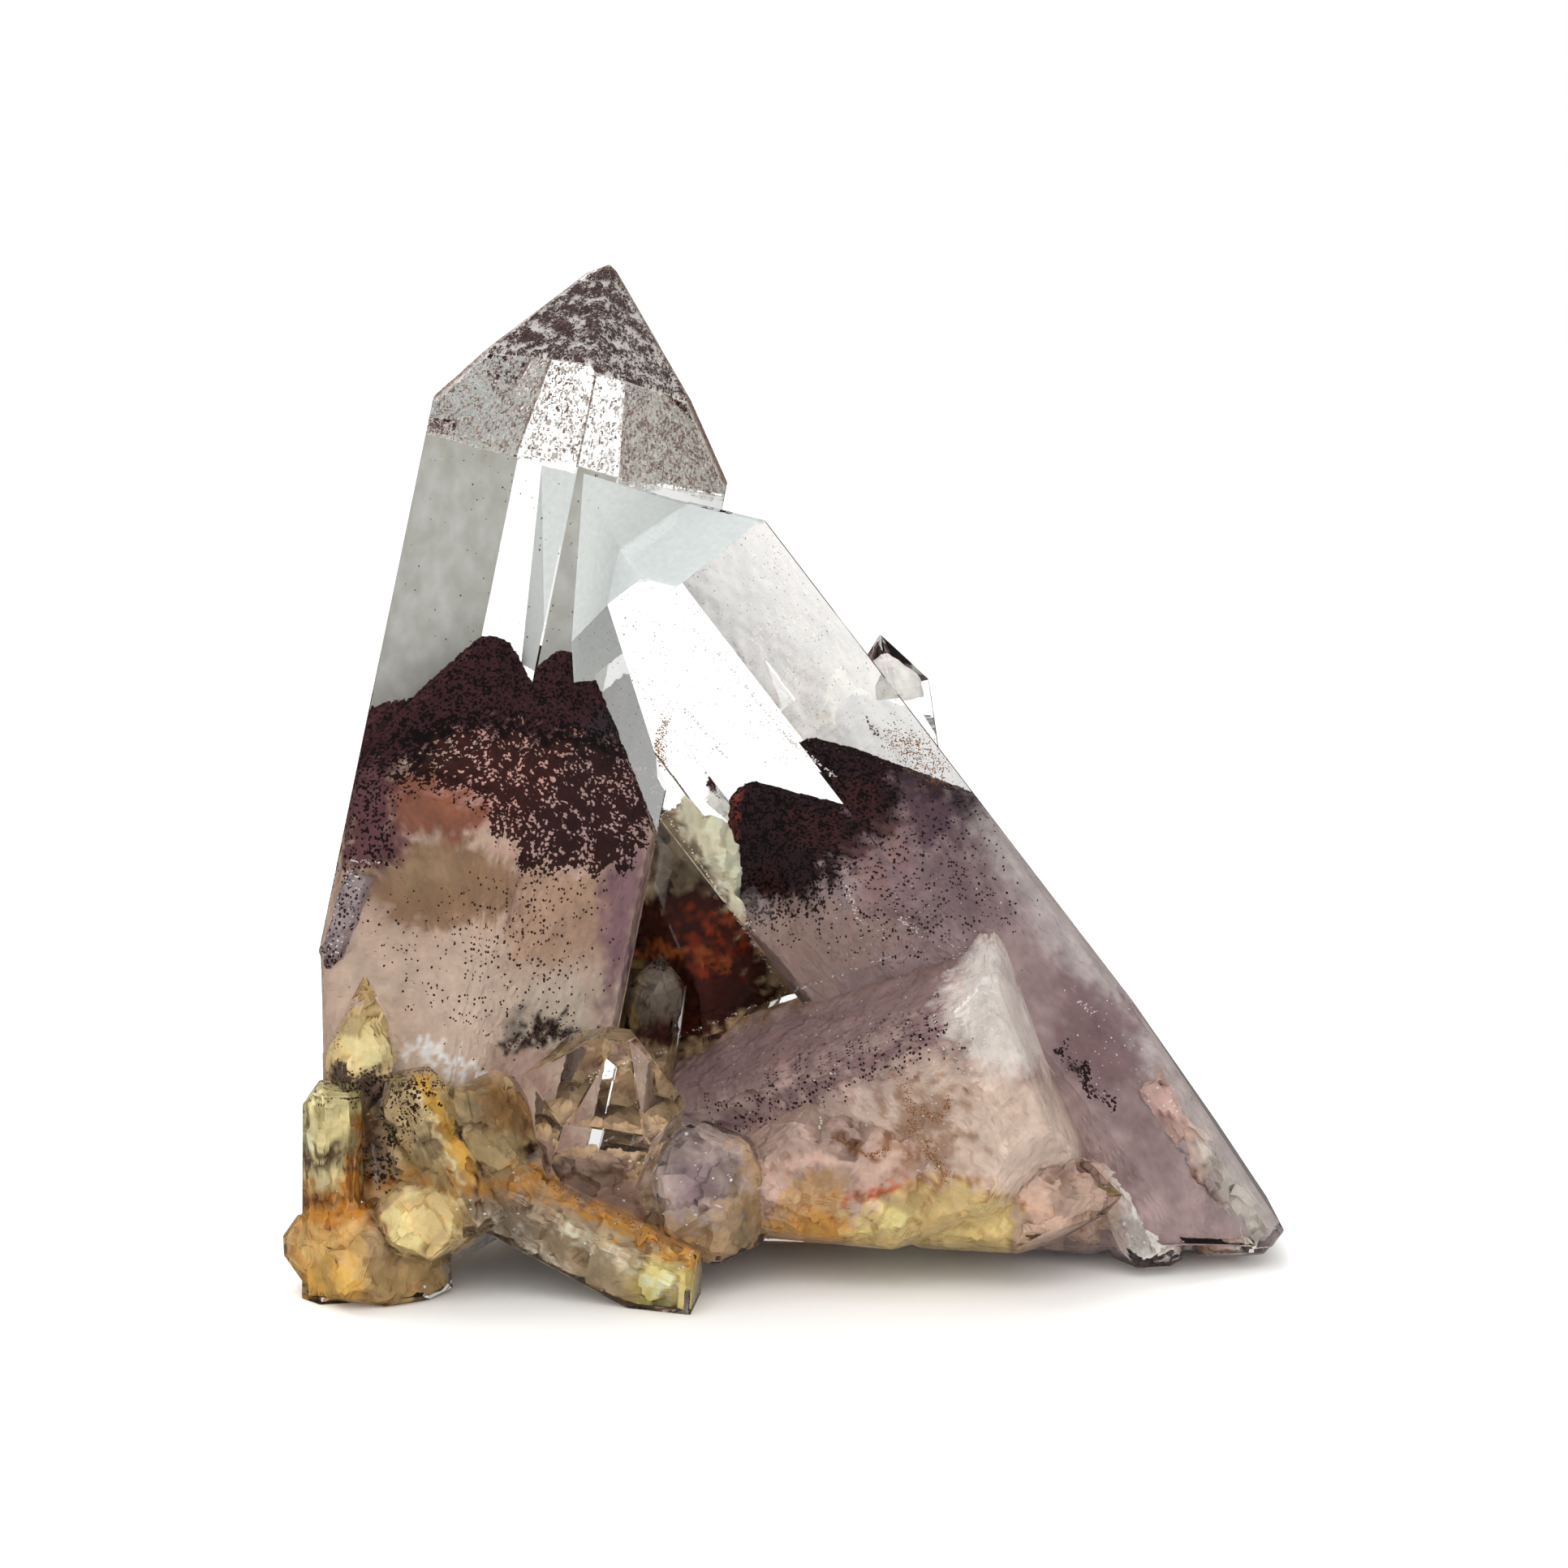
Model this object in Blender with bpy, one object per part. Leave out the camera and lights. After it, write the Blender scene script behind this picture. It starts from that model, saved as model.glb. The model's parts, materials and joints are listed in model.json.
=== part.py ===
"""Phantom quartz cluster: two large crystals that lean together, one that lies in front of them,
and the smaller crystals and broken quartz of their foot, all grown together in one solid.

Metres, +Z up, -Y to the front. The origin is at the middle of the bounding box's underside.
Each crystal is a block cut down by its own faces: six prism faces round its long axis and six
faces that meet in its point. Sizes and places in the tables are in millimetres.
"""

import math
import random
from collections import namedtuple

import bmesh
import bpy
from mathutils import Vector

MM = 0.001
POINT_SLOPE = 38.2  # degrees between the long axis of quartz and the faces of its point
BLOCK_SIDE = 200.0  # side of the block that each shape is cut from
QUARTZ_COLOR = (0.62, 0.50, 0.48, 1.0)

# foot and tip are the ends of the long axis. faces holds the distances from that axis to the six
# prism faces, 60 degrees apart. turn is the angle of the first one in degrees, 0 to the front and
# growing to the right of the axis. point moves each face of the point outward from the tip. slope
# is the angle of those faces to the axis. breaks lists further planes, each a point on the plane
# and its outward direction, where the crystal is broken or ends on another.
Crystal = namedtuple("Crystal", "name foot tip faces turn point slope breaks",
                     defaults=((0, 0, 0, 0, 0, 0), POINT_SLOPE, ()))


def even(distance):
    """Six prism faces at one distance."""
    return (distance,) * 6


CRYSTALS = (
    Crystal("great", (-25.4, -6.5, 5.0), (-12.3, 8.0, 70.0),
            (6.7, 7.1, 11.1, 10.9, 10.9, 10.2), -26, (0, 0, 0.2, 0, 0, 0.5),
            breaks=(((-31.7, 0, 20.0), (-1.0, 0, -0.05)), ((-21.0, -12.0, 14.2), (0.1, -0.5, -0.85)))),
    Crystal("leaning", (31.2, 3.0, -6.0), (-16.1, 5.0, 55.7),
            (9.25, 7.5, 9.0, 9.25, 7.5, 9.0), -84,
            breaks=(((27.1, 3.0, 14.8), (0.833, 0, 0.554)), ((35.6, 3.0, 2.7), (0.67, 0, -0.74)),
                    ((28.0, 2.0, 0.0), (0, -0.3, -0.95)))),
    Crystal("lying", (-13.2, 7.2, 0.7), (24.3, -8.5, 17.4),
            (9.2, 7.0, 9.3, 9.0, 7.5, 10.0), -68, (2.8, 0, 0, 0, 0, 2.8),
            breaks=(((17.7, -6.9, 15.7), (0.85, -0.2, 0.36)), ((5.0, -8.0, 3.1), (0, -0.2, -1.0)))),
    Crystal("side", (8.7, 3.6, 31.0), (6.8, 4.4, 44.1), (2.8, 2.9, 2.8, 2.8, 2.9, 2.8), -25),
    Crystal("stub", (-14.5, -5.0, 6.5), (-10.6, -12.6, 19.6), (4.5, 5.0, 4.8, 4.5, 5.0, 4.8), 10,
            breaks=(((-11.0, -12.0, 18.6), (0.1, -0.2, 1.0)),)),
    Crystal("column", (-30.9, -10.0, -2.0), (-30.4, -10.6, 18.0), (1.8, 1.9, 1.8, 1.8, 1.9, 1.8), 12,
            breaks=(((-30.5, -10.5, 14.7), (0.05, -0.1, 1.0)), ((-32.3, -10.5, 14.0), (-0.8, 0, 0.6)))),
    Crystal("slant_left", (-20.4, -9.8, 5.5), (-26.4, -11.6, 17.4), (2.7, 2.4, 2.6, 2.6, 2.4, 2.6), 20,
            breaks=(((-25.6, -11.5, 15.8), (-0.3, -0.2, 1.0)),)),
    Crystal("slant_right", (-16.5, -9.0, 5.5), (-22.6, -10.8, 17.2), (3.0, 2.6, 2.8, 2.8, 2.6, 2.8), -10,
            breaks=(((-22.0, -10.5, 15.4), (-0.2, -0.2, 1.0)),)),
    Crystal("ledge", (-23.0, -8.6, 8.9), (-1.5, -13.2, -1.6), (3.0, 2.3, 2.7, 3.0, 2.6, 2.9), -35,
            breaks=(((-5.9, -12.8, 1.8), (0.92, -0.1, -0.1)),)),
    Crystal("wedge", (-28.7, -6.5, 6.0), (-28.4, -9.4, 22.4), even(2.6), 5, slope=24.0),
    Crystal("chip", (-28.6, -2.6, 28.5), (-31.4, -3.4, 20.4), even(1.5), 15),
    Crystal("toe", (21.3, -2.0, 9.4), (27.4, -3.6, -1.6), (2.3, 2.2, 2.2, 2.3, 2.2, 2.2), 5,
            breaks=(((0, 0, 0.7), (0, 0, -1)),)),
    Crystal("heel", (24.3, 0.5, 13.0), (35.6, -0.6, -3.4), (2.9, 3.2, 2.9, 2.9, 3.2, 2.9), -84,
            breaks=(((35.4, 0.0, 2.7), (0.67, 0, -0.74)), ((0, -1.0, 0.4), (0, -0.3, -0.95)))),
    Crystal("nook", (-9.8, 2.0, 12.0), (-8.6, -0.6, 22.0), (1.9, 1.8, 1.9, 1.9, 1.8, 1.9), 15),
    Crystal("back_tall", (-15.0, 6.0, 3.0), (-3.5, 16.2, 23.5), (4.4, 4.0, 4.6, 4.4, 4.0, 4.6), 140),
    Crystal("back_middle", (2.0, 5.0, 3.0), (6.0, 15.2, 18.5), (3.6, 3.2, 3.4, 3.6, 3.2, 3.4), 160),
    Crystal("back_right", (15.0, 5.0, 1.0), (24.0, 13.8, 11.5), (3.0, 2.8, 3.1, 3.0, 2.8, 3.1), 150),
    Crystal("back_left", (-24.0, 2.0, 2.0), (-31.0, 9.5, 16.5), (3.2, 3.0, 3.3, 3.2, 3.0, 3.3), 200),
)

# Lumps of broken quartz: middle, half sizes, lowest height and the seed of their broken faces.
Lump = namedtuple("Lump", "name middle half lowest seed")
LUMP_FACES = 22
LUMPS = (
    Lump("left_root", (-24.0, -3.0, 7.5), (8.5, 9.0, 7.0), 1.6, 3),
    Lump("left_heart", (-24.2, -7.6, 8.6), (8.4, 4.2, 5.8), 2.0, 4),
    Lump("left_foot", (-28.3, -8.6, 2.6), (5.6, 5.4, 4.0), -1.0, 5),
    Lump("amber_knob", (-24.6, -11.0, 5.6), (3.4, 2.9, 2.9), -1.0, 8),
    Lump("middle_root", (-12.0, -4.0, 6.4), (9.0, 8.0, 6.0), 2.4, 11),
    Lump("druse", (-5.4, -8.6, 6.6), (4.4, 3.8, 5.0), 2.2, 14),
    Lump("iron_nook", (-6.0, 6.4, 19.6), (7.2, 4.6, 14.0), 6.0, 17),
    Lump("under_lying", (5.4, -4.4, 7.4), (11.5, 6.4, 6.2), 2.9, 20),
    Lump("right_root", (20.0, 0.4, 6.0), (10.0, 6.0, 6.6), 0.8, 23),
    Lump("front_shelf", (14.0, -6.4, 6.0), (8.0, 4.2, 4.2), 2.4, 26),
    Lump("back_root", (-12.0, 7.0, 6.0), (13.0, 6.6, 7.0), -1.0, 29),
    Lump("back_shelf", (9.0, 6.6, 7.0), (14.0, 6.0, 6.4), 0.8, 32),
)


def axes_of(crystal):
    """The crystal's long axis and the two directions across it: to the front and to the right."""
    along = (Vector(crystal.tip) - Vector(crystal.foot)).normalized()
    front = Vector((0, -1, 0))
    front = (front - front.dot(along) * along).normalized()
    return along, front, along.cross(front)


def crystal_planes(crystal):
    """The faces of a crystal: its foot, six prism faces, six point faces and its breaks."""
    along, front, right = axes_of(crystal)
    foot = Vector(crystal.foot)
    slope = math.radians(crystal.slope)
    planes = [(foot, -along)]
    for number, distance in enumerate(crystal.faces):
        angle = math.radians(crystal.turn + 60 * number)
        outward = math.cos(angle) * front + math.sin(angle) * right
        sloped = math.cos(slope) * outward + math.sin(slope) * along
        planes.append((foot + distance * outward, outward))
        planes.append((Vector(crystal.tip) + crystal.point[number] * sloped, sloped))
    planes.extend((Vector(point), Vector(outward).normalized()) for point, outward in crystal.breaks)
    return planes


def lump_planes(lump):
    """Broken faces all round an ellipsoid, and a level underside."""
    chance = random.Random(lump.seed)
    middle = Vector(lump.middle)
    half = Vector(lump.half)
    planes = [(Vector((0, 0, lump.lowest)), Vector((0, 0, -1)))]
    for number in range(LUMP_FACES):
        height = 1 - 2 * (number + 0.5) / LUMP_FACES
        angle = number * math.pi * (3 - math.sqrt(5)) + chance.uniform(-0.4, 0.4)
        ring = math.sqrt(1 - height * height)
        outward = Vector((ring * math.cos(angle), ring * math.sin(angle), height))
        reach = Vector(half[axis] * outward[axis] for axis in range(3))
        planes.append((middle + reach * chance.uniform(0.8, 1.0), reach_normal(outward, half)))
    return planes


def reach_normal(outward, half):
    """The outward direction of an ellipsoid's surface where a sphere's would be outward."""
    return Vector(outward[axis] / half[axis] for axis in range(3)).normalized()


def shapes():
    """The name, faces and middle of every convex shape in the cluster."""
    for crystal in CRYSTALS:
        middle = (Vector(crystal.foot) + Vector(crystal.tip)) / 2
        yield crystal.name, crystal_planes(crystal), middle
    for lump in LUMPS:
        yield lump.name, lump_planes(lump), Vector(lump.middle)


def cut_block(planes, middle):
    """A closed convex solid: a block about middle, cut by each plane and closed with one face."""
    block = bmesh.new()
    bmesh.ops.create_cube(block, size=BLOCK_SIDE)
    bmesh.ops.translate(block, vec=middle, verts=block.verts)
    for point, outward in planes:
        parts = block.verts[:] + block.edges[:] + block.faces[:]
        cut = bmesh.ops.bisect_plane(block, geom=parts, dist=1e-9, plane_co=point,
                                     plane_no=outward, clear_outer=True)
        rim = [part for part in cut["geom_cut"] if isinstance(part, bmesh.types.BMEdge)]
        if rim:
            bmesh.ops.contextual_create(block, geom=rim)
    bmesh.ops.scale(block, vec=(MM, MM, MM), verts=block.verts)
    bmesh.ops.recalc_face_normals(block, faces=block.faces)
    return block


def quartz_material():
    quartz = bpy.data.materials.new("quartz")
    quartz.use_nodes = True
    shader = quartz.node_tree.nodes["Principled BSDF"]
    shader.inputs["Base Color"].default_value = QUARTZ_COLOR
    shader.inputs["Roughness"].default_value = 0.08
    shader.inputs["Metallic"].default_value = 0.0
    shader.inputs["IOR"].default_value = 1.544
    return quartz


def add_object(name, block, collection):
    mesh = bpy.data.meshes.new(name)
    block.to_mesh(mesh)
    block.free()
    made = bpy.data.objects.new(name, mesh)
    collection.objects.link(made)
    return made


def add_helper(name, block, collection):
    """An object that only a Boolean uses."""
    helper = add_object(name, block, collection)
    helper.hide_render = True
    helper.display_type = "WIRE"
    return helper


def center_underside(blocks):
    """Moves the blocks so that the middle of their common bounding box is over the origin."""
    corners = [vert.co for block in blocks for vert in block.verts]
    for axis in (0, 1):
        ends = [corner[axis] for corner in corners]
        middle = (min(ends) + max(ends)) / 2
        for corner in corners:
            corner[axis] -= middle


def ground_block():
    """A slab that takes away everything below the level where the cluster rests."""
    ground = bmesh.new()
    bmesh.ops.create_cube(ground, size=BLOCK_SIDE * MM)
    bmesh.ops.translate(ground, vec=(0, 0, -BLOCK_SIDE * MM / 2), verts=ground.verts)
    return ground


def grow_cluster(scene):
    """The first crystal, with every other shape joined to it, cut off level underneath."""
    others = bpy.data.collections.new("grown_together")
    scene.collection.children.link(others)
    names, blocks = zip(*((name, cut_block(planes, middle)) for name, planes, middle in shapes()))
    center_underside(blocks)
    cluster = add_object("quartz_cluster", blocks[0], scene.collection)
    for name, block in zip(names[1:], blocks[1:]):
        add_helper(name, block, others)
    union = cluster.modifiers.new("grown together", "BOOLEAN")
    union.operation = "UNION"
    union.solver = "EXACT"
    union.operand_type = "COLLECTION"
    union.collection = others
    level = cluster.modifiers.new("cut off level", "BOOLEAN")
    level.operation = "DIFFERENCE"
    level.solver = "EXACT"
    level.object = add_helper("ground", ground_block(), scene.collection)
    return cluster


def main():
    for old in list(bpy.data.objects):
        bpy.data.objects.remove(old)
    cluster = grow_cluster(bpy.context.scene)
    cluster.data.materials.append(quartz_material())


main()
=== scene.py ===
# %% [markdown]
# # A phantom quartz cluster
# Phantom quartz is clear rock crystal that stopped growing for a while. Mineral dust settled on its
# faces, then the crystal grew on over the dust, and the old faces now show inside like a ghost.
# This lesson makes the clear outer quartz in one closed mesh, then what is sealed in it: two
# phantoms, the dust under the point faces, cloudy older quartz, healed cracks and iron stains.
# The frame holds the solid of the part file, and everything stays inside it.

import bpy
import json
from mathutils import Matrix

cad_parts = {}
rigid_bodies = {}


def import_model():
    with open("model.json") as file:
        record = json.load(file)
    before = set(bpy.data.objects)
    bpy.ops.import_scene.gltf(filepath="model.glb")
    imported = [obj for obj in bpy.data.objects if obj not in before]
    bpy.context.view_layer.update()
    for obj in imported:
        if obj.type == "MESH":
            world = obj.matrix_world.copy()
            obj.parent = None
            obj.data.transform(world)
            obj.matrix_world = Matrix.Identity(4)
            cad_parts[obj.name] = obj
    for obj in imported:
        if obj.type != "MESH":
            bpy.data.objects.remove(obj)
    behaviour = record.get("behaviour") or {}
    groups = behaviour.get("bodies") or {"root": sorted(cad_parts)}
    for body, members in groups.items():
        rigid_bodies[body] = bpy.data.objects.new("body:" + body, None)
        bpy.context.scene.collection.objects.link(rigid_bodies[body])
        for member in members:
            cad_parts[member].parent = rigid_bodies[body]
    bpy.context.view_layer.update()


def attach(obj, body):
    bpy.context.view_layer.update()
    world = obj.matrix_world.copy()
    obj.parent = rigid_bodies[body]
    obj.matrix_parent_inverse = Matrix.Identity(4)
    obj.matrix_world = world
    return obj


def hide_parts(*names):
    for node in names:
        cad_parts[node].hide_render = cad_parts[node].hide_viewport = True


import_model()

# %% What the lesson uses
import json
import math
import random
from collections import namedtuple

import bmesh
import bpy
import numpy as np
from mathutils import Matrix, Vector
from mathutils.bvhtree import BVHTree
from mathutils.kdtree import KDTree

scene = bpy.context.scene
MM = 0.001

# %% [markdown]
# ## Colours and nodes
# Mineral colours are picked as sRGB hex codes, as on a paint chart. Blender works in linear light,
# so one function turns them over. One more adds a node with its settings and its links.

# %% Colour and node helpers
def color(code, alpha=1.0):
    """An sRGB hex code as linear red, green, blue and alpha."""
    parts = [int(code[i:i + 2], 16) / 255 for i in (1, 3, 5)]
    return (*(p / 12.92 if p <= 0.04045 else ((p + 0.055) / 1.055) ** 2.4 for p in parts), alpha)


def add(tree, kind, inputs=None, **settings):
    """Adds a node. A socket given for an input is linked, and any other value is set."""
    made = tree.nodes.new(kind)
    for name, value in settings.items():
        setattr(made, name, value)
    for name, value in (inputs or {}).items():
        if isinstance(value, bpy.types.NodeSocket):
            tree.links.new(value, made.inputs[name])
        else:
            made.inputs[name].default_value = value
    return made


def new_material(name):
    """An empty node material and its tree."""
    made = bpy.data.materials.new(name)
    made.use_nodes = True
    made.node_tree.nodes.clear()
    return made, made.node_tree


# %% [markdown]
# ## Camera
# The photograph looks a little down on the cluster from the front, with no visible convergence,
# so a portrait lens stands a good quarter of a metre away. The frame is square.

# %% Camera
LENS = 85.0
SENSOR = 36.0
LOOK_DOWN = math.radians(8.0)
AIM = Vector((-0.0004, -0.00155, 0.034))
DISTANCE = 0.25865

lens = bpy.data.cameras.new("portrait lens")
lens.lens = LENS
lens.sensor_width = SENSOR
lens.clip_start = 0.01
lens.clip_end = 20.0
camera = bpy.data.objects.new("camera", lens)
scene.collection.objects.link(camera)
camera.rotation_euler = (math.pi / 2 - LOOK_DOWN, 0, 0)
camera.location = AIM - DISTANCE * Vector((0, math.cos(LOOK_DOWN), -math.sin(LOOK_DOWN)))
scene.camera = camera
scene.view_settings.view_transform = "Standard"
print("camera at", tuple(round(v, 4) for v in camera.location))

# %% [markdown]
# ## Studio light
# A clear crystal shows little but its surroundings, bent and mirrored by its faces. White on all
# sides would hide its edges, so the studio is white in front and behind, and pale grey towards the
# sides: those greys are what the side faces send to the eye. The eye itself looks into plain white.
# What the outside of a face mirrors is a darker grey, as a polarising filter on the lens gives it,
# so that the dark phantoms aren't veiled by a white reflection.

# %% Light and floor
STUDIO_WHITE = color("#ffffff")
SIDE_GREY = color("#b4b6b4")
FAR_SIDE_GREY = color("#dcdcdc")
MIRRORED_GREY = color("#6e6a68")
WHITE_TO, GREY_AT, FAR_AT = 0.35, 0.62, 0.95
FRONT_LIGHT = 2.6


def studio_world():
    """White in front and behind, and grey at the sides, for directions from -1 to 1 on each axis."""
    world = bpy.data.worlds.new("soft studio")
    scene.world = world
    world.use_nodes = True
    tree = world.node_tree
    tree.nodes.clear()
    place = add(tree, "ShaderNodeTexCoord")
    ways = add(tree, "ShaderNodeSeparateXYZ", {"Vector": place.outputs["Generated"]})
    sideways = add(tree, "ShaderNodeMath", {0: ways.outputs["X"]}, operation="ABSOLUTE")
    walls = add(tree, "ShaderNodeValToRGB", {"Fac": sideways.outputs[0]})
    ramp = walls.color_ramp
    ramp.interpolation = "EASE"
    ramp.elements[0].position = WHITE_TO
    ramp.elements[0].color = STUDIO_WHITE
    ramp.elements[1].position = GREY_AT
    ramp.elements[1].color = SIDE_GREY
    last = ramp.elements.new(FAR_AT)
    last.color = FAR_SIDE_GREY
    eye = add(tree, "ShaderNodeLightPath")
    thrown_back = add(tree, "ShaderNodeMath", {
        0: eye.outputs["Is Glossy Ray"], 1: eye.outputs["Is Transmission Ray"]},
        operation="SUBTRACT", use_clamp=True)
    mirrored = add(tree, "ShaderNodeMix", {
        "Factor": thrown_back.outputs[0], "A": walls.outputs["Color"], "B": MIRRORED_GREY},
        data_type="RGBA")
    seen = add(tree, "ShaderNodeMix", {
        "Factor": eye.outputs["Is Camera Ray"], "A": mirrored.outputs["Result"], "B": STUDIO_WHITE},
        data_type="RGBA")
    ahead = add(tree, "ShaderNodeMapRange", {
        "Value": ways.outputs["Y"], "From Min": -0.05, "From Max": -0.6,
        "To Min": 1.0, "To Max": FRONT_LIGHT}, interpolation_type="SMOOTHSTEP")
    power = add(tree, "ShaderNodeMix", {
        "Factor": thrown_back.outputs[0], "A": ahead.outputs[0], "B": 1.0})
    light = add(tree, "ShaderNodeBackground", {
        "Color": seen.outputs["Result"], "Strength": power.outputs[0]})
    add(tree, "ShaderNodeOutputWorld", {"Surface": light.outputs[0]})


PANEL_POWER = 1.6
PANEL_WIDTH = math.radians(50)
PANEL_TILT = (math.radians(-25), math.radians(-20), 0)

studio_world()
sky_panel = bpy.data.lights.new("overhead panel", "SUN")
sky_panel.energy = PANEL_POWER
sky_panel.angle = PANEL_WIDTH
panel = bpy.data.objects.new("overhead panel", sky_panel)
panel.visible_glossy = False
scene.collection.objects.link(panel)
panel.rotation_euler = PANEL_TILT
scene.cycles.max_bounces = 20
scene.cycles.glossy_bounces = 14
scene.cycles.transmission_bounces = 20
scene.cycles.transparent_max_bounces = 24

# Matt white paper sends light back evenly, so the cluster stands on plain white.
FLOOR_RADIUS = 3.0
FLOOR_DROP = 0.00005

floor_mesh = bmesh.new()
bmesh.ops.create_circle(floor_mesh, cap_ends=True, radius=FLOOR_RADIUS, segments=96)
bmesh.ops.translate(floor_mesh, vec=(0, 0, -FLOOR_DROP), verts=floor_mesh.verts)
floor = bpy.data.objects.new("floor", bpy.data.meshes.new("floor"))
floor_mesh.to_mesh(floor.data)
floor_mesh.free()
scene.collection.objects.link(floor)
floor.visible_glossy = False
paper, tree = new_material("matt white paper")
board = add(tree, "ShaderNodeBsdfPrincipled", {"Base Color": color("#f4f3f1"), "Roughness": 0.9})
add(tree, "ShaderNodeOutputMaterial", {"Surface": board.outputs[0]})
floor.data.materials.append(paper)

# %% [markdown]
# ## Faces of a crystal
# Quartz grows six prism faces round its long axis and six more that meet in a point, always at the
# same angles. So a crystal here is a block cut by planes, as a lapidary would cut a model of one,
# and only the distances of the planes differ from crystal to crystal. Sizes are in millimetres.

# %% Planes and blocks
POINT_SLOPE = 38.2
BLOCK_SIDE = 200.0
SNAP = 0.002

Crystal = namedtuple("Crystal", "name foot tip faces turn point slope breaks",
                     defaults=((0, 0, 0, 0, 0, 0), POINT_SLOPE, ()))


def even(distance):
    """Six prism faces at one distance."""
    return (distance,) * 6


def axes_of(crystal):
    """The long axis and the two directions across it: to the front and to the right."""
    along = (Vector(crystal.tip) - Vector(crystal.foot)).normalized()
    front = Vector((0, -1, 0))
    front = (front - front.dot(along) * along).normalized()
    return along, front, along.cross(front)


def crystal_planes(crystal, inset=0.0):
    """The faces of a crystal, moved inwards by inset: a point and an outward direction each."""
    along, front, right = axes_of(crystal)
    foot = Vector(crystal.foot)
    slope = math.radians(crystal.slope)
    planes = [(foot, -along)]
    for number, distance in enumerate(crystal.faces):
        angle = math.radians(crystal.turn + 60 * number)
        outward = math.cos(angle) * front + math.sin(angle) * right
        sloped = math.cos(slope) * outward + math.sin(slope) * along
        planes.append((foot + distance * outward, outward))
        planes.append((Vector(crystal.tip) + crystal.point[number] * sloped, sloped))
    planes.extend((Vector(point), Vector(outward).normalized()) for point, outward in crystal.breaks)
    return [(point - inset * outward, outward) for point, outward in planes]


def cut_block(planes, middle):
    """A closed convex solid: a block about middle, cut by each plane and closed with one face."""
    block = bmesh.new()
    bmesh.ops.create_cube(block, size=BLOCK_SIDE)
    bmesh.ops.translate(block, vec=middle, verts=block.verts)
    for point, outward in planes:
        parts = block.verts[:] + block.edges[:] + block.faces[:]
        cut = bmesh.ops.bisect_plane(block, geom=parts, dist=SNAP, plane_co=point,
                                     plane_no=outward, clear_outer=True)
        rim = [part for part in cut["geom_cut"] if isinstance(part, bmesh.types.BMEdge)]
        if rim:
            bmesh.ops.contextual_create(block, geom=rim)
    bmesh.ops.recalc_face_normals(block, faces=block.faces)
    return block
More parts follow.
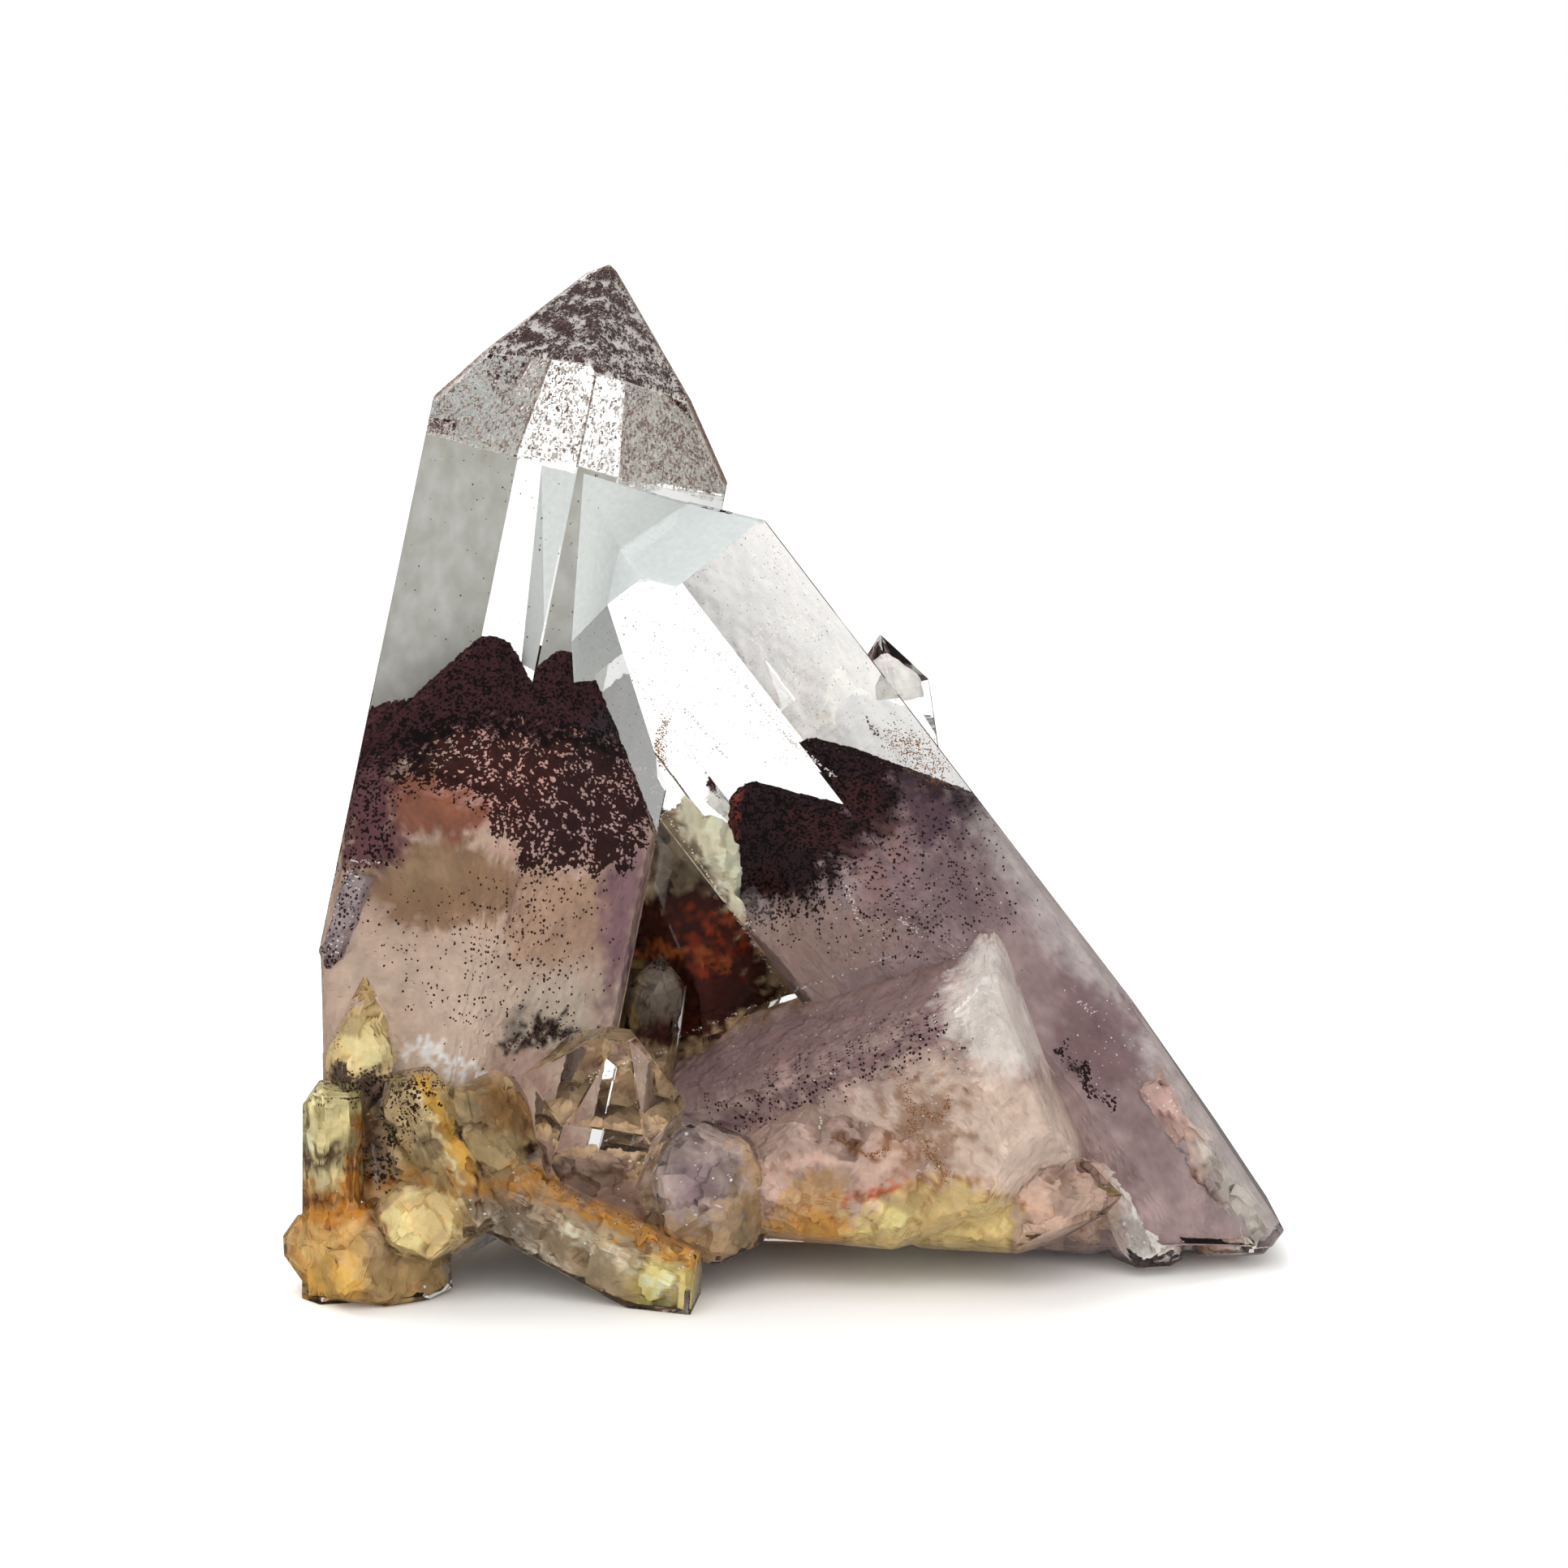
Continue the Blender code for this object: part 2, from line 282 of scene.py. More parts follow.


# %% [markdown]
# ## The cluster's crystals
# The same crystals and lumps as in the part file's solid, with the same sizes.

# %% Crystals and lumps
CRYSTALS = (
    Crystal("great", (-25.4, -6.5, 5.0), (-12.3, 8.0, 70.0),
            (6.7, 7.1, 11.1, 10.9, 10.9, 10.2), -26, (0, 0, 0.2, 0, 0, 0.5),
            breaks=(((-31.7, 0, 20.0), (-1.0, 0, -0.05)), ((-21.0, -12.0, 14.2), (0.1, -0.5, -0.85)))),
    Crystal("leaning", (31.2, 3.0, -6.0), (-16.1, 5.0, 55.7),
            (9.25, 7.5, 9.0, 9.25, 7.5, 9.0), -84,
            breaks=(((27.1, 3.0, 14.8), (0.833, 0, 0.554)), ((35.6, 3.0, 2.7), (0.67, 0, -0.74)),
                    ((28.0, 2.0, 0.0), (0, -0.3, -0.95)))),
    Crystal("lying", (-13.2, 7.2, 0.7), (24.3, -8.5, 17.4),
            (9.2, 7.0, 9.3, 9.0, 7.5, 10.0), -68, (2.8, 0, 0, 0, 0, 2.8),
            breaks=(((17.7, -6.9, 15.7), (0.85, -0.2, 0.36)), ((5.0, -8.0, 3.1), (0, -0.2, -1.0)))),
    Crystal("side", (8.7, 3.6, 31.0), (6.8, 4.4, 44.1), (2.8, 2.9, 2.8, 2.8, 2.9, 2.8), -25),
    Crystal("stub", (-14.5, -5.0, 6.5), (-10.6, -12.6, 19.6), (4.5, 5.0, 4.8, 4.5, 5.0, 4.8), 10,
            breaks=(((-11.0, -12.0, 18.6), (0.1, -0.2, 1.0)),)),
    Crystal("column", (-30.9, -10.0, -2.0), (-30.4, -10.6, 18.0), (1.8, 1.9, 1.8, 1.8, 1.9, 1.8), 12,
            breaks=(((-30.5, -10.5, 14.7), (0.05, -0.1, 1.0)), ((-32.3, -10.5, 14.0), (-0.8, 0, 0.6)))),
    Crystal("slant_left", (-20.4, -9.8, 5.5), (-26.4, -11.6, 17.4), (2.7, 2.4, 2.6, 2.6, 2.4, 2.6), 20,
            breaks=(((-25.6, -11.5, 15.8), (-0.3, -0.2, 1.0)),)),
    Crystal("slant_right", (-16.5, -9.0, 5.5), (-22.6, -10.8, 17.2), (3.0, 2.6, 2.8, 2.8, 2.6, 2.8), -10,
            breaks=(((-22.0, -10.5, 15.4), (-0.2, -0.2, 1.0)),)),
    Crystal("ledge", (-23.0, -8.6, 8.9), (-1.5, -13.2, -1.6), (3.0, 2.3, 2.7, 3.0, 2.6, 2.9), -35,
            breaks=(((-5.9, -12.8, 1.8), (0.92, -0.1, -0.1)),)),
    Crystal("wedge", (-28.7, -6.5, 6.0), (-28.4, -9.4, 22.4), even(2.6), 5, slope=24.0),
    Crystal("chip", (-28.6, -2.6, 28.5), (-31.4, -3.4, 20.4), even(1.5), 15),
    Crystal("toe", (21.3, -2.0, 9.4), (27.4, -3.6, -1.6), (2.3, 2.2, 2.2, 2.3, 2.2, 2.2), 5,
            breaks=(((0, 0, 0.7), (0, 0, -1)),)),
    Crystal("heel", (24.3, 0.5, 13.0), (35.6, -0.6, -3.4), (2.9, 3.2, 2.9, 2.9, 3.2, 2.9), -84,
            breaks=(((35.4, 0.0, 2.7), (0.67, 0, -0.74)), ((0, -1.0, 0.4), (0, -0.3, -0.95)))),
    Crystal("nook", (-9.8, 2.0, 12.0), (-8.6, -0.6, 22.0), (1.9, 1.8, 1.9, 1.9, 1.8, 1.9), 15),
    Crystal("back_tall", (-15.0, 6.0, 3.0), (-3.5, 16.2, 23.5), (4.4, 4.0, 4.6, 4.4, 4.0, 4.6), 140),
    Crystal("back_middle", (2.0, 5.0, 3.0), (6.0, 15.2, 18.5), (3.6, 3.2, 3.4, 3.6, 3.2, 3.4), 160),
    Crystal("back_right", (15.0, 5.0, 1.0), (24.0, 13.8, 11.5), (3.0, 2.8, 3.1, 3.0, 2.8, 3.1), 150),
    Crystal("back_left", (-24.0, 2.0, 2.0), (-31.0, 9.5, 16.5), (3.2, 3.0, 3.3, 3.2, 3.0, 3.3), 200),
)
NAMED = {crystal.name: crystal for crystal in CRYSTALS}

Lump = namedtuple("Lump", "name middle half lowest seed")
LUMP_FACES = 22
LUMPS = (
    Lump("left_root", (-24.0, -3.0, 7.5), (8.5, 9.0, 7.0), 1.6, 3),
    Lump("left_heart", (-24.2, -7.6, 8.6), (8.4, 4.2, 5.8), 2.0, 4),
    Lump("left_foot", (-28.3, -8.6, 2.6), (5.6, 5.4, 4.0), -1.0, 5),
    Lump("amber_knob", (-24.6, -11.0, 5.6), (3.4, 2.9, 2.9), -1.0, 8),
    Lump("middle_root", (-12.0, -4.0, 6.4), (9.0, 8.0, 6.0), 2.4, 11),
    Lump("druse", (-5.4, -8.6, 6.6), (4.4, 3.8, 5.0), 2.2, 14),
    Lump("iron_nook", (-6.0, 6.4, 19.6), (7.2, 4.6, 14.0), 6.0, 17),
    Lump("under_lying", (5.4, -4.4, 7.4), (11.5, 6.4, 6.2), 2.9, 20),
    Lump("right_root", (20.0, 0.4, 6.0), (10.0, 6.0, 6.6), 0.8, 23),
    Lump("front_shelf", (14.0, -6.4, 6.0), (8.0, 4.2, 4.2), 2.4, 26),
    Lump("back_root", (-12.0, 7.0, 6.0), (13.0, 6.6, 7.0), -1.0, 29),
    Lump("back_shelf", (9.0, 6.6, 7.0), (14.0, 6.0, 6.4), 0.8, 32),
)


def lump_planes(lump, inset=0.0):
    """Broken faces all round an ellipsoid, and a level underside."""
    chance = random.Random(lump.seed)
    half = Vector(lump.half)
    planes = [(Vector((0, 0, lump.lowest + inset)), Vector((0, 0, -1)))]
    for number in range(LUMP_FACES):
        height = 1 - 2 * (number + 0.5) / LUMP_FACES
        angle = number * math.pi * (3 - math.sqrt(5)) + chance.uniform(-0.4, 0.4)
        ring = math.sqrt(1 - height * height)
        outward = Vector((ring * math.cos(angle), ring * math.sin(angle), height))
        reach = Vector(half[axis] * outward[axis] for axis in range(3)) * chance.uniform(0.8, 1.0)
        normal = Vector(outward[axis] / half[axis] for axis in range(3)).normalized()
        planes.append((Vector(lump.middle) + reach - inset * normal, normal))
    return planes


# %% [markdown]
# ## The clear outer quartz
# Where clear solids overlap, light would bend at faces that the real cluster doesn't have. So all
# crystals and lumps are joined into one closed skin. Natural edges are never razor sharp, and a
# narrow bevel on each crystal catches the light along them.

# %% Joined skin
EDGE_ROUND = 0.14
LEAST_TURN = math.radians(8)


def rounded_block(planes, middle, width):
    """A block whose edges are each cut back by one more plane, which leaves a facet that wide."""
    sharp = cut_block(planes, middle)
    worn = []
    for edge in sharp.edges:
        between = edge.link_faces[0].normal + edge.link_faces[1].normal
        if edge.calc_length() > width and between.length < 2 * math.cos(LEAST_TURN / 2):
            outward = between.normalized()
            depth = width / 2 * math.tan(edge.calc_face_angle() / 2)
            worn.append((edge.verts[0].co - depth * outward, outward))
    sharp.free()
    return cut_block(planes + worn, middle)


def middle_of(shape):
    """The middle of a crystal or a lump."""
    if isinstance(shape, Crystal):
        return (Vector(shape.foot) + Vector(shape.tip)) / 2
    return Vector(shape.middle)


def planes_of(shape, inset=0.0):
    """The faces of a crystal or a lump, moved inwards by inset."""
    if isinstance(shape, Crystal):
        return crystal_planes(shape, inset)
    return lump_planes(shape, inset)


def add_piece(name, block, material):
    """A finished piece of the object, in metres, that rides on the cluster."""
    mesh = bpy.data.meshes.new(name)
    block.to_mesh(mesh)
    block.free()
    mesh.materials.append(material)
    made = bpy.data.objects.new(name, mesh)
    scene.collection.objects.link(made)
    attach(made, "root")
    return made


def table_shift():
    """From the tables' millimetres to the frame: the middle of the box goes over the origin."""
    sharp = [cut_block(planes_of(shape), middle_of(shape)) for shape in CRYSTALS + LUMPS]
    corners = [vert.co.copy() for block in sharp for vert in block.verts]
    for block in sharp:
        block.free()
    return Vector([-(min(c[axis] for c in corners) + max(c[axis] for c in corners)) / 2
                   for axis in (0, 1)] + [0])


SHIFT = table_shift()
print("tables move by", tuple(round(v, 3) for v in SHIFT), "mm")


def settle(block):
    """Moves a block from the tables' millimetres to metres in the frame."""
    bmesh.ops.translate(block, vec=SHIFT, verts=block.verts)
    bmesh.ops.scale(block, vec=(MM, MM, MM), verts=block.verts)
    return block


def helper(name, block, collection):
    """A passing object that a Boolean works on."""
    mesh = bpy.data.meshes.new(name)
    block.to_mesh(mesh)
    block.free()
    made = bpy.data.objects.new(name, mesh)
    collection.objects.link(made)
    return made


def grow_skin():
    """All crystals and lumps joined into one closed solid, cut off level at the foot."""
    others = bpy.data.collections.new("grown together")
    scene.collection.children.link(others)
    made = [(shape.name, settle(rounded_block(planes_of(shape), middle_of(shape), EDGE_ROUND)))
            for shape in CRYSTALS + LUMPS]
    skin = helper(made[0][0], made[0][1], scene.collection)
    for name, block in made[1:]:
        helper(name, block, others)
    union = skin.modifiers.new("grown together", "BOOLEAN")
    union.operation = "UNION"
    union.solver = "EXACT"
    union.operand_type = "COLLECTION"
    union.collection = others
    ground = bmesh.new()
    bmesh.ops.create_cube(ground, size=BLOCK_SIDE * MM)
    bmesh.ops.translate(ground, vec=(0, 0, -BLOCK_SIDE * MM / 2), verts=ground.verts)
    level = skin.modifiers.new("cut off level", "BOOLEAN")
    level.operation = "DIFFERENCE"
    level.solver = "EXACT"
    level.object = helper("ground", ground, scene.collection)
    whole = bmesh.new()
    whole.from_mesh(skin.evaluated_get(bpy.context.evaluated_depsgraph_get()).to_mesh())
    for used in [skin, level.object] + others.objects[:]:
        bpy.data.objects.remove(used)
    bpy.data.collections.remove(others)
    return whole


skin_block = grow_skin()
print("the skin has", len(skin_block.faces), "faces")

# %% [markdown]
# ## Rock crystal
# Clear quartz bends light by 1.544 and takes almost none of it. Its prism faces carry fine growth
# lines across the crystal, which show in glancing light. To the eye they keep a large flat face
# from looking like window glass, and the trace of absorption gives thick places a warm grey.

# %% Rock crystal material
QUARTZ_IOR = 1.544
WAVES_PER_METRE = 260.0
LINES_PER_MM = 1.8
LINE_SHARE = 0.35
RELIEF = 0.0001
ABSORBED_PER_METRE = 24.0


def rock_crystal():
    """Clear quartz with slow waves and growth lines on its faces."""
    made, tree = new_material("rock crystal, natural faces")
    place = add(tree, "ShaderNodeTexCoord")
    waves = add(tree, "ShaderNodeTexNoise", {
        "Vector": place.outputs["Object"], "Scale": WAVES_PER_METRE, "Detail": 2.0})
    along = add(tree, "ShaderNodeAttribute", attribute_name="along")
    lines = add(tree, "ShaderNodeTexNoise", {
        "W": along.outputs["Fac"], "Scale": LINES_PER_MM, "Detail": 4.0}, noise_dimensions="1D")
    grown = add(tree, "ShaderNodeMath", {0: lines.outputs[0], 1: LINE_SHARE, 2: waves.outputs[0]},
                operation="MULTIPLY_ADD")
    bump = add(tree, "ShaderNodeBump", {
        "Height": grown.outputs[0], "Strength": 0.15, "Distance": RELIEF})
    shader = add(tree, "ShaderNodeBsdfPrincipled", {
        "Base Color": color("#ffffff"), "Roughness": 0.0, "IOR": QUARTZ_IOR,
        "Transmission Weight": 1.0, "Normal": bump.outputs[0]})
    clear = add(tree, "ShaderNodeVolumeAbsorption", {
        "Color": color("#f2f1ef"), "Density": ABSORBED_PER_METRE})
    add(tree, "ShaderNodeOutputMaterial", {"Surface": shader.outputs[0], "Volume": clear.outputs[0]})
    return made


ON_PLANE = 0.05


def mark_growth(block):
    """Writes on each corner how far along its own crystal it lies, in millimetres."""
    layer = block.loops.layers.float.new("along")
    for face in block.faces:
        place = face.verts[0].co / MM - SHIFT
        for crystal in CRYSTALS:
            axis = axes_of(crystal)[0]
            if any(abs((place - point).dot(outward)) < ON_PLANE and face.normal.dot(outward) > 0.999
                   for point, outward in crystal_planes(crystal)[1:13:2]):
                for loop in face.loops:
                    loop[layer] = (loop.vert.co / MM).dot(axis)
                break


mark_growth(skin_block)
skin = add_piece("clear_quartz", skin_block, rock_crystal())
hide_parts("quartz_cluster")

# %% [markdown]
# ## Seen through a face
# A thing inside a crystal isn't where the eye sees it: each face bends the line of sight, and two
# faces show one thing twice. To paint the cloudy quartz so that it matches what the camera sees, the
# next cell works out at which pixel of the photograph each point shows. It starts from the straight
# line and corrects it a few times. Pixels are those of the 1932 pixel frame.

# %% Lines of sight
PHOTO_SIDE = 1932
CORRECTIONS = 8
LEAST_SLANT = 0.05
FACE_SLACK = 0.3

EYE = np.array(camera.location) / MM - np.array(SHIFT)
LOOK = np.array((0, math.cos(LOOK_DOWN), -math.sin(LOOK_DOWN)))
RIGHT = np.array((1.0, 0, 0))
UP = np.array((0, math.sin(LOOK_DOWN), math.cos(LOOK_DOWN)))
PIXEL = SENSOR / LENS / PHOTO_SIDE


def pixels_of(points):
    """The pixels at which points in the open show, for an array of points."""
    ahead = points - EYE
    depth = ahead @ LOOK
    return np.stack((PHOTO_SIDE / 2 + ahead @ RIGHT / depth / PIXEL,
                     PHOTO_SIDE / 2 - ahead @ UP / depth / PIXEL), axis=1)


def sight_lines(pixels):
    """Unit directions from the camera through pixels."""
    lines = (LOOK + np.outer((pixels[:, 0] - PHOTO_SIDE / 2) * PIXEL, RIGHT)
             + np.outer((PHOTO_SIDE / 2 - pixels[:, 1]) * PIXEL, UP))
    return lines / np.linalg.norm(lines, axis=1, keepdims=True)


def seen_through(points, face_point, outward):
    """The pixels at which points show through one face, where the sight line meets it, and
    whether the camera faces it."""
    pixels = pixels_of(points)
    for _ in range(CORRECTIONS):
        lines = sight_lines(pixels)
        slant = -(lines @ outward)
        met = EYE + lines * (((face_point - EYE) @ outward) / -slant)[:, None]
        kept = np.clip(1 - (1 - slant ** 2) / QUARTZ_IOR ** 2, 0, None)
        bent = lines / QUARTZ_IOR + np.outer(slant / QUARTZ_IOR - np.sqrt(kept), outward)
        aside = points - met
        aside -= bent * np.sum(aside * bent, axis=1, keepdims=True)
        pixels = pixels + pixels_of(met + aside) - pixels_of(met)
    return pixels, met, slant > LEAST_SLANT


def seen_in(points, crystal):
    """The pixels at which points inside a crystal show. A point that no face shows keeps the pixel
    of the straight line."""
    faces = [(np.array(point), np.array(outward)) for point, outward in crystal_planes(crystal)]
    pixels = pixels_of(points)
    unseen = np.ones(len(points), bool)
    for number, (face_point, outward) in enumerate(faces[1:13:2]):
        found, met, faced = seen_through(points, face_point, outward)
        for other, (point, direction) in enumerate(faces[1:]):
            if other != 2 * number:
                faced &= (met - point) @ direction < FACE_SLACK
        chosen = faced & unseen
        pixels[chosen] = found[chosen]
        unseen &= ~faced
    return pixels


# %% [markdown]
# ## Painting zones
# The cloudy quartz is coloured in zones, as a painter would block it in: areas, lines and spots at
# places named by the pixels where the photograph shows them, each in one mineral colour with a soft
# and ragged border. The colours are kept on the mesh as an attribute, and the fine grain, which is
# smaller than the mesh, is added by the material.

# %% Zone helpers
# Soft, ragged, points and size are in pixels. Size is a line's width, or a spot's two radii.
Zone = namedtuple("Zone", "what shape code strength soft ragged points size", defaults=((0, 0),))
DUST = "dust"
# Painted light: every painted colour is made this many times brighter, to make up for the light that the
# clear skin keeps from the cloudy quartz.
PAINTED_LIGHT_GAIN = 1.22
DARKEST, LIGHTEST = 0.004, 0.95


def ripple(points, size, seed, waves=20):
    """A smooth random field with features of about the given size, mostly between -2 and 2."""
    chance = np.random.default_rng(seed)
    ways = chance.normal(size=(waves, 3))
    lengths = np.linalg.norm(ways, axis=1)
    ways *= (2 * math.pi / size * chance.uniform(0.5, 1.5, waves) / lengths)[:, None]
    starts = chance.uniform(0, 2 * math.pi, waves)
    return np.cos(points @ ways.T + starts).sum(axis=1) / math.sqrt(waves / 2)


def distance_to_line(pixels, points):
    """How far each pixel is from a line through points."""
    nearest = np.full(len(pixels), 1e9)
    for start, end in zip(points, points[1:]):
        start, end = np.array(start, float), np.array(end, float)
        step = end - start
        share = np.clip((pixels - start) @ step / max(step @ step, 1e-9), 0, 1)
        nearest = np.minimum(nearest, np.linalg.norm(pixels - start - share[:, None] * step, axis=1))
    return nearest


def within(pixels, points):
    """Whether each pixel is inside an outline."""
    inside = np.zeros(len(pixels), bool)
    for (u0, v0), (u1, v1) in zip(points, points[1:] + points[:1]):
        if v0 != v1:
            crosses = (pixels[:, 1] > min(v0, v1)) & (pixels[:, 1] <= max(v0, v1))
            inside ^= crosses & (pixels[:, 0] < u0 + (pixels[:, 1] - v0) * (u1 - u0) / (v1 - v0))
    return inside


WIDE_FRAY = 1.3
FINE_FRAY = 0.5


def both_ways(points, size, seed):
    """Two ripples side by side, one for each direction in the picture."""
    return np.stack((ripple(points, size, seed), ripple(points, size, seed + 1)), axis=1)


def share_of(zone, pixels, points):
    """How much of a zone's colour each point takes, from 0 to 1. Its name gives the seed."""
    seed = sum(map(ord, zone.what))
    moved = pixels + zone.ragged * both_ways(points, WIDE_FRAY, seed)
    moved = moved + 0.5 * zone.ragged * both_ways(points, FINE_FRAY, seed + 2)
    if zone.shape == "area":
        outline = tuple(zone.points)
        away = distance_to_line(moved, outline + outline[:1])
        away = np.where(within(moved, outline), -away, away)
    elif zone.shape == "line":
        away = distance_to_line(moved, zone.points) - zone.size[0] / 2
    else:
        radii = np.array(zone.size, float)
        away = (np.linalg.norm((moved - zone.points[0]) / radii, axis=1) - 1) * radii.min()
    ease = np.clip(0.5 - away / (2 * max(zone.soft, 0.5)), 0, 1)
    return zone.strength * ease * ease * (3 - 2 * ease)


def paint(piece, ground, zones, crystal=None, painted_facet_light=0.0):
    """Colours a mesh by zones, and keeps its share of dust beside the colour. Painted facet light, where
    given, lightens or darkens each point as painted light and shade."""
    mesh = piece.data
    points = np.empty(len(mesh.vertices) * 3)
    mesh.vertices.foreach_get("co", points)
    points = points.reshape(-1, 3) / MM - np.array(SHIFT)
    pixels = seen_in(points, crystal) if crystal else pixels_of(points)
    colors = np.tile(np.array(color(ground)[:3]), (len(points), 1))
    colors *= (1 + 0.10 * ripple(points, 5, 1) + 0.05 * ripple(points, 1.2, 2))[:, None]
    dust = np.zeros(len(points))
    for zone in zones:
        share = share_of(zone, pixels, points)
        if zone.code == DUST:
            dust += (zone.strength - dust) * share / max(zone.strength, 1e-6)
        else:
            colors += share[:, None] * (np.array(color(zone.code)[:3]) - colors)
    colors = np.clip(colors * PAINTED_LIGHT_GAIN * np.reshape(1 + painted_facet_light, (-1, 1)), DARKEST, LIGHTEST)
    mesh.attributes.new("paint", "FLOAT_COLOR", "POINT").data.foreach_set(
        "color", np.hstack((colors, np.ones((len(points), 1)))).ravel())
    mesh.attributes.new("dust", "FLOAT", "POINT").data.foreach_set("value", dust)
    print(piece.name, "painted:", len(points), "points,", len(zones), "zones")


HALVINGS = 7


def divide(block, longest):
    """Halves the edges of a block that are longer than longest, in millimetres, a few times over."""
    for _ in range(HALVINGS):
        wide = [edge for edge in block.edges if edge.calc_length() > longest]
        bmesh.ops.subdivide_edges(block, edges=wide, cuts=1)
        bmesh.ops.triangulate(block, faces=block.faces[:])
    return block


# %% [markdown]
# ## Sealed, cloudy quartz
# Older quartz in the crystal is clouded by dust and tiny bubbles, so it looks waxy and painted in
# pinks and browns. Flecks of hematite a quarter of a millimetre across lie on it. The material takes
# the zone colour, mottles it, and turns cells of a small Voronoi pattern dark where there is dust.

# %% Cloudy quartz material
FLECK = 0.20 * MM
MOTTLE = 0.9 * MM
DRIFT = 1.1 * MM
FLECK_REACH = 0.42
REACH_IN_DUST = 0.7


def cloudy_quartz(name, fleck_code):
    """Cloudy quartz in its zone colours. Where there is dust, flecks darken it in small cells."""
    made, tree = new_material(name)
    place = add(tree, "ShaderNodeTexCoord").outputs["Object"]
    tint = add(tree, "ShaderNodeAttribute", attribute_name="paint")
    dust = add(tree, "ShaderNodeAttribute", attribute_name="dust")
    mottle = add(tree, "ShaderNodeTexNoise", {
        "Vector": place, "Scale": 0.5 / MOTTLE, "Detail": 3.0, "Roughness": 0.6})
    spread = add(tree, "ShaderNodeMapRange", {
        "Value": mottle.outputs[0], "From Min": 0.3, "From Max": 0.7, "To Min": 0.80, "To Max": 1.14})
    tinted = add(tree, "ShaderNodeVectorMath", {0: tint.outputs["Color"], 1: spread.outputs[0]},
                 operation="MULTIPLY")
    stir = add(tree, "ShaderNodeTexNoise", {"Vector": place, "Scale": 1 / FLECK, "Detail": 1.0})
    pushed = add(tree, "ShaderNodeVectorMath", {0: stir.outputs["Color"], "Scale": 0.7 * FLECK},
                 operation="SCALE")
    moved = add(tree, "ShaderNodeVectorMath", {0: place, 1: pushed.outputs[0]}, operation="ADD")
    cells = add(tree, "ShaderNodeTexVoronoi", {"Vector": moved.outputs[0], "Scale": 1 / FLECK})
    chance = add(tree, "ShaderNodeSeparateColor", {"Color": cells.outputs["Color"]})
    drift = add(tree, "ShaderNodeTexNoise", {"Vector": place, "Scale": 1 / DRIFT, "Detail": 1.0})
    gathered = add(tree, "ShaderNodeMapRange", {
        "Value": drift.outputs[0], "From Min": 0.35, "From Max": 0.65, "To Min": 0.75, "To Max": 1.2})
    share = add(tree, "ShaderNodeMath", {0: dust.outputs["Fac"], 1: gathered.outputs[0]},
                operation="MULTIPLY")
    taken = add(tree, "ShaderNodeMath", {0: chance.outputs[0], 1: share.outputs[0]},
                operation="LESS_THAN")
    reach = add(tree, "ShaderNodeMath", {0: dust.outputs["Fac"], 1: REACH_IN_DUST, 2: FLECK_REACH},
                operation="MULTIPLY_ADD")
    middle = add(tree, "ShaderNodeMath", {0: cells.outputs["Distance"], 1: reach.outputs[0]},
                 operation="LESS_THAN")
    fleck = add(tree, "ShaderNodeMath", {0: taken.outputs[0], 1: middle.outputs[0]},
                operation="MULTIPLY")
    darker = add(tree, "ShaderNodeVectorMath", {0: tinted.outputs[0], 1: color(fleck_code)[:3]},
                 operation="MULTIPLY")
    whole = add(tree, "ShaderNodeMix", {
        "Factor": fleck.outputs[0], "A": tinted.outputs[0], "B": darker.outputs[0]},
        data_type="RGBA")
    shader = add(tree, "ShaderNodeBsdfPrincipled", {
        "Base Color": whole.outputs["Result"], "Roughness": 0.7, "Specular IOR Level": 0.0})
    add(tree, "ShaderNodeOutputMaterial", {"Surface": shader.outputs[0]})
    return made


# Sealed in quartz it has no gloss of its own, so the eye sees a waxy, painted body.
CLOUDY = cloudy_quartz("older quartz, clouded and flecked with hematite", "#4a3537")

# %% [markdown]
# ## Flakes
# Dust settles on a growing face as a net of thin flakes. A sheet just inside the face is divided into
# small triangles, shaken a little out of its grid, and most triangles are taken away, in patches. What
# stays is given a thickness. Single specks are small eight-sided grains set at random.

# %% Flake helpers
FLAKE_THICK = 0.03
SHAKE = 0.3
WIDE_PATCH = 1.6
SMALL_PATCH = 0.6


def flake_material(name, code, streak_code, patch=0.4):
    """A dull flake whose tone varies from one to the next, in patches of that many millimetres."""
    made, tree = new_material(name)
    place = add(tree, "ShaderNodeTexCoord").outputs["Object"]
    patches = add(tree, "ShaderNodeTexNoise", {
        "Vector": place, "Scale": 1 / (patch * MM), "Detail": 2.0})
    tone = add(tree, "ShaderNodeMix", {
        "Factor": patches.outputs[0], "A": color(code), "B": color(streak_code)}, data_type="RGBA")
    shader = add(tree, "ShaderNodeBsdfPrincipled", {
        "Base Color": tone.outputs["Result"], "Roughness": 0.75, "Specular IOR Level": 0.0})
    add(tree, "ShaderNodeOutputMaterial", {"Surface": shader.outputs[0]})
    return made


# Settled dust is dull, and the eye reads its colour: maroon where it is thick, brown where it is
# thin, and white where it is fine quartz.
DARK_FLAKE = flake_material("hematite flakes, dull maroon", "#3f2b2e", "#715c5a")
BROWN_FLAKE = flake_material("hematite flakes, thin and brown", "#87695e", "#b59f95")
PALE_FLAKE = flake_material("fine white dust, settled", "#fffaf6", "#ece4de")


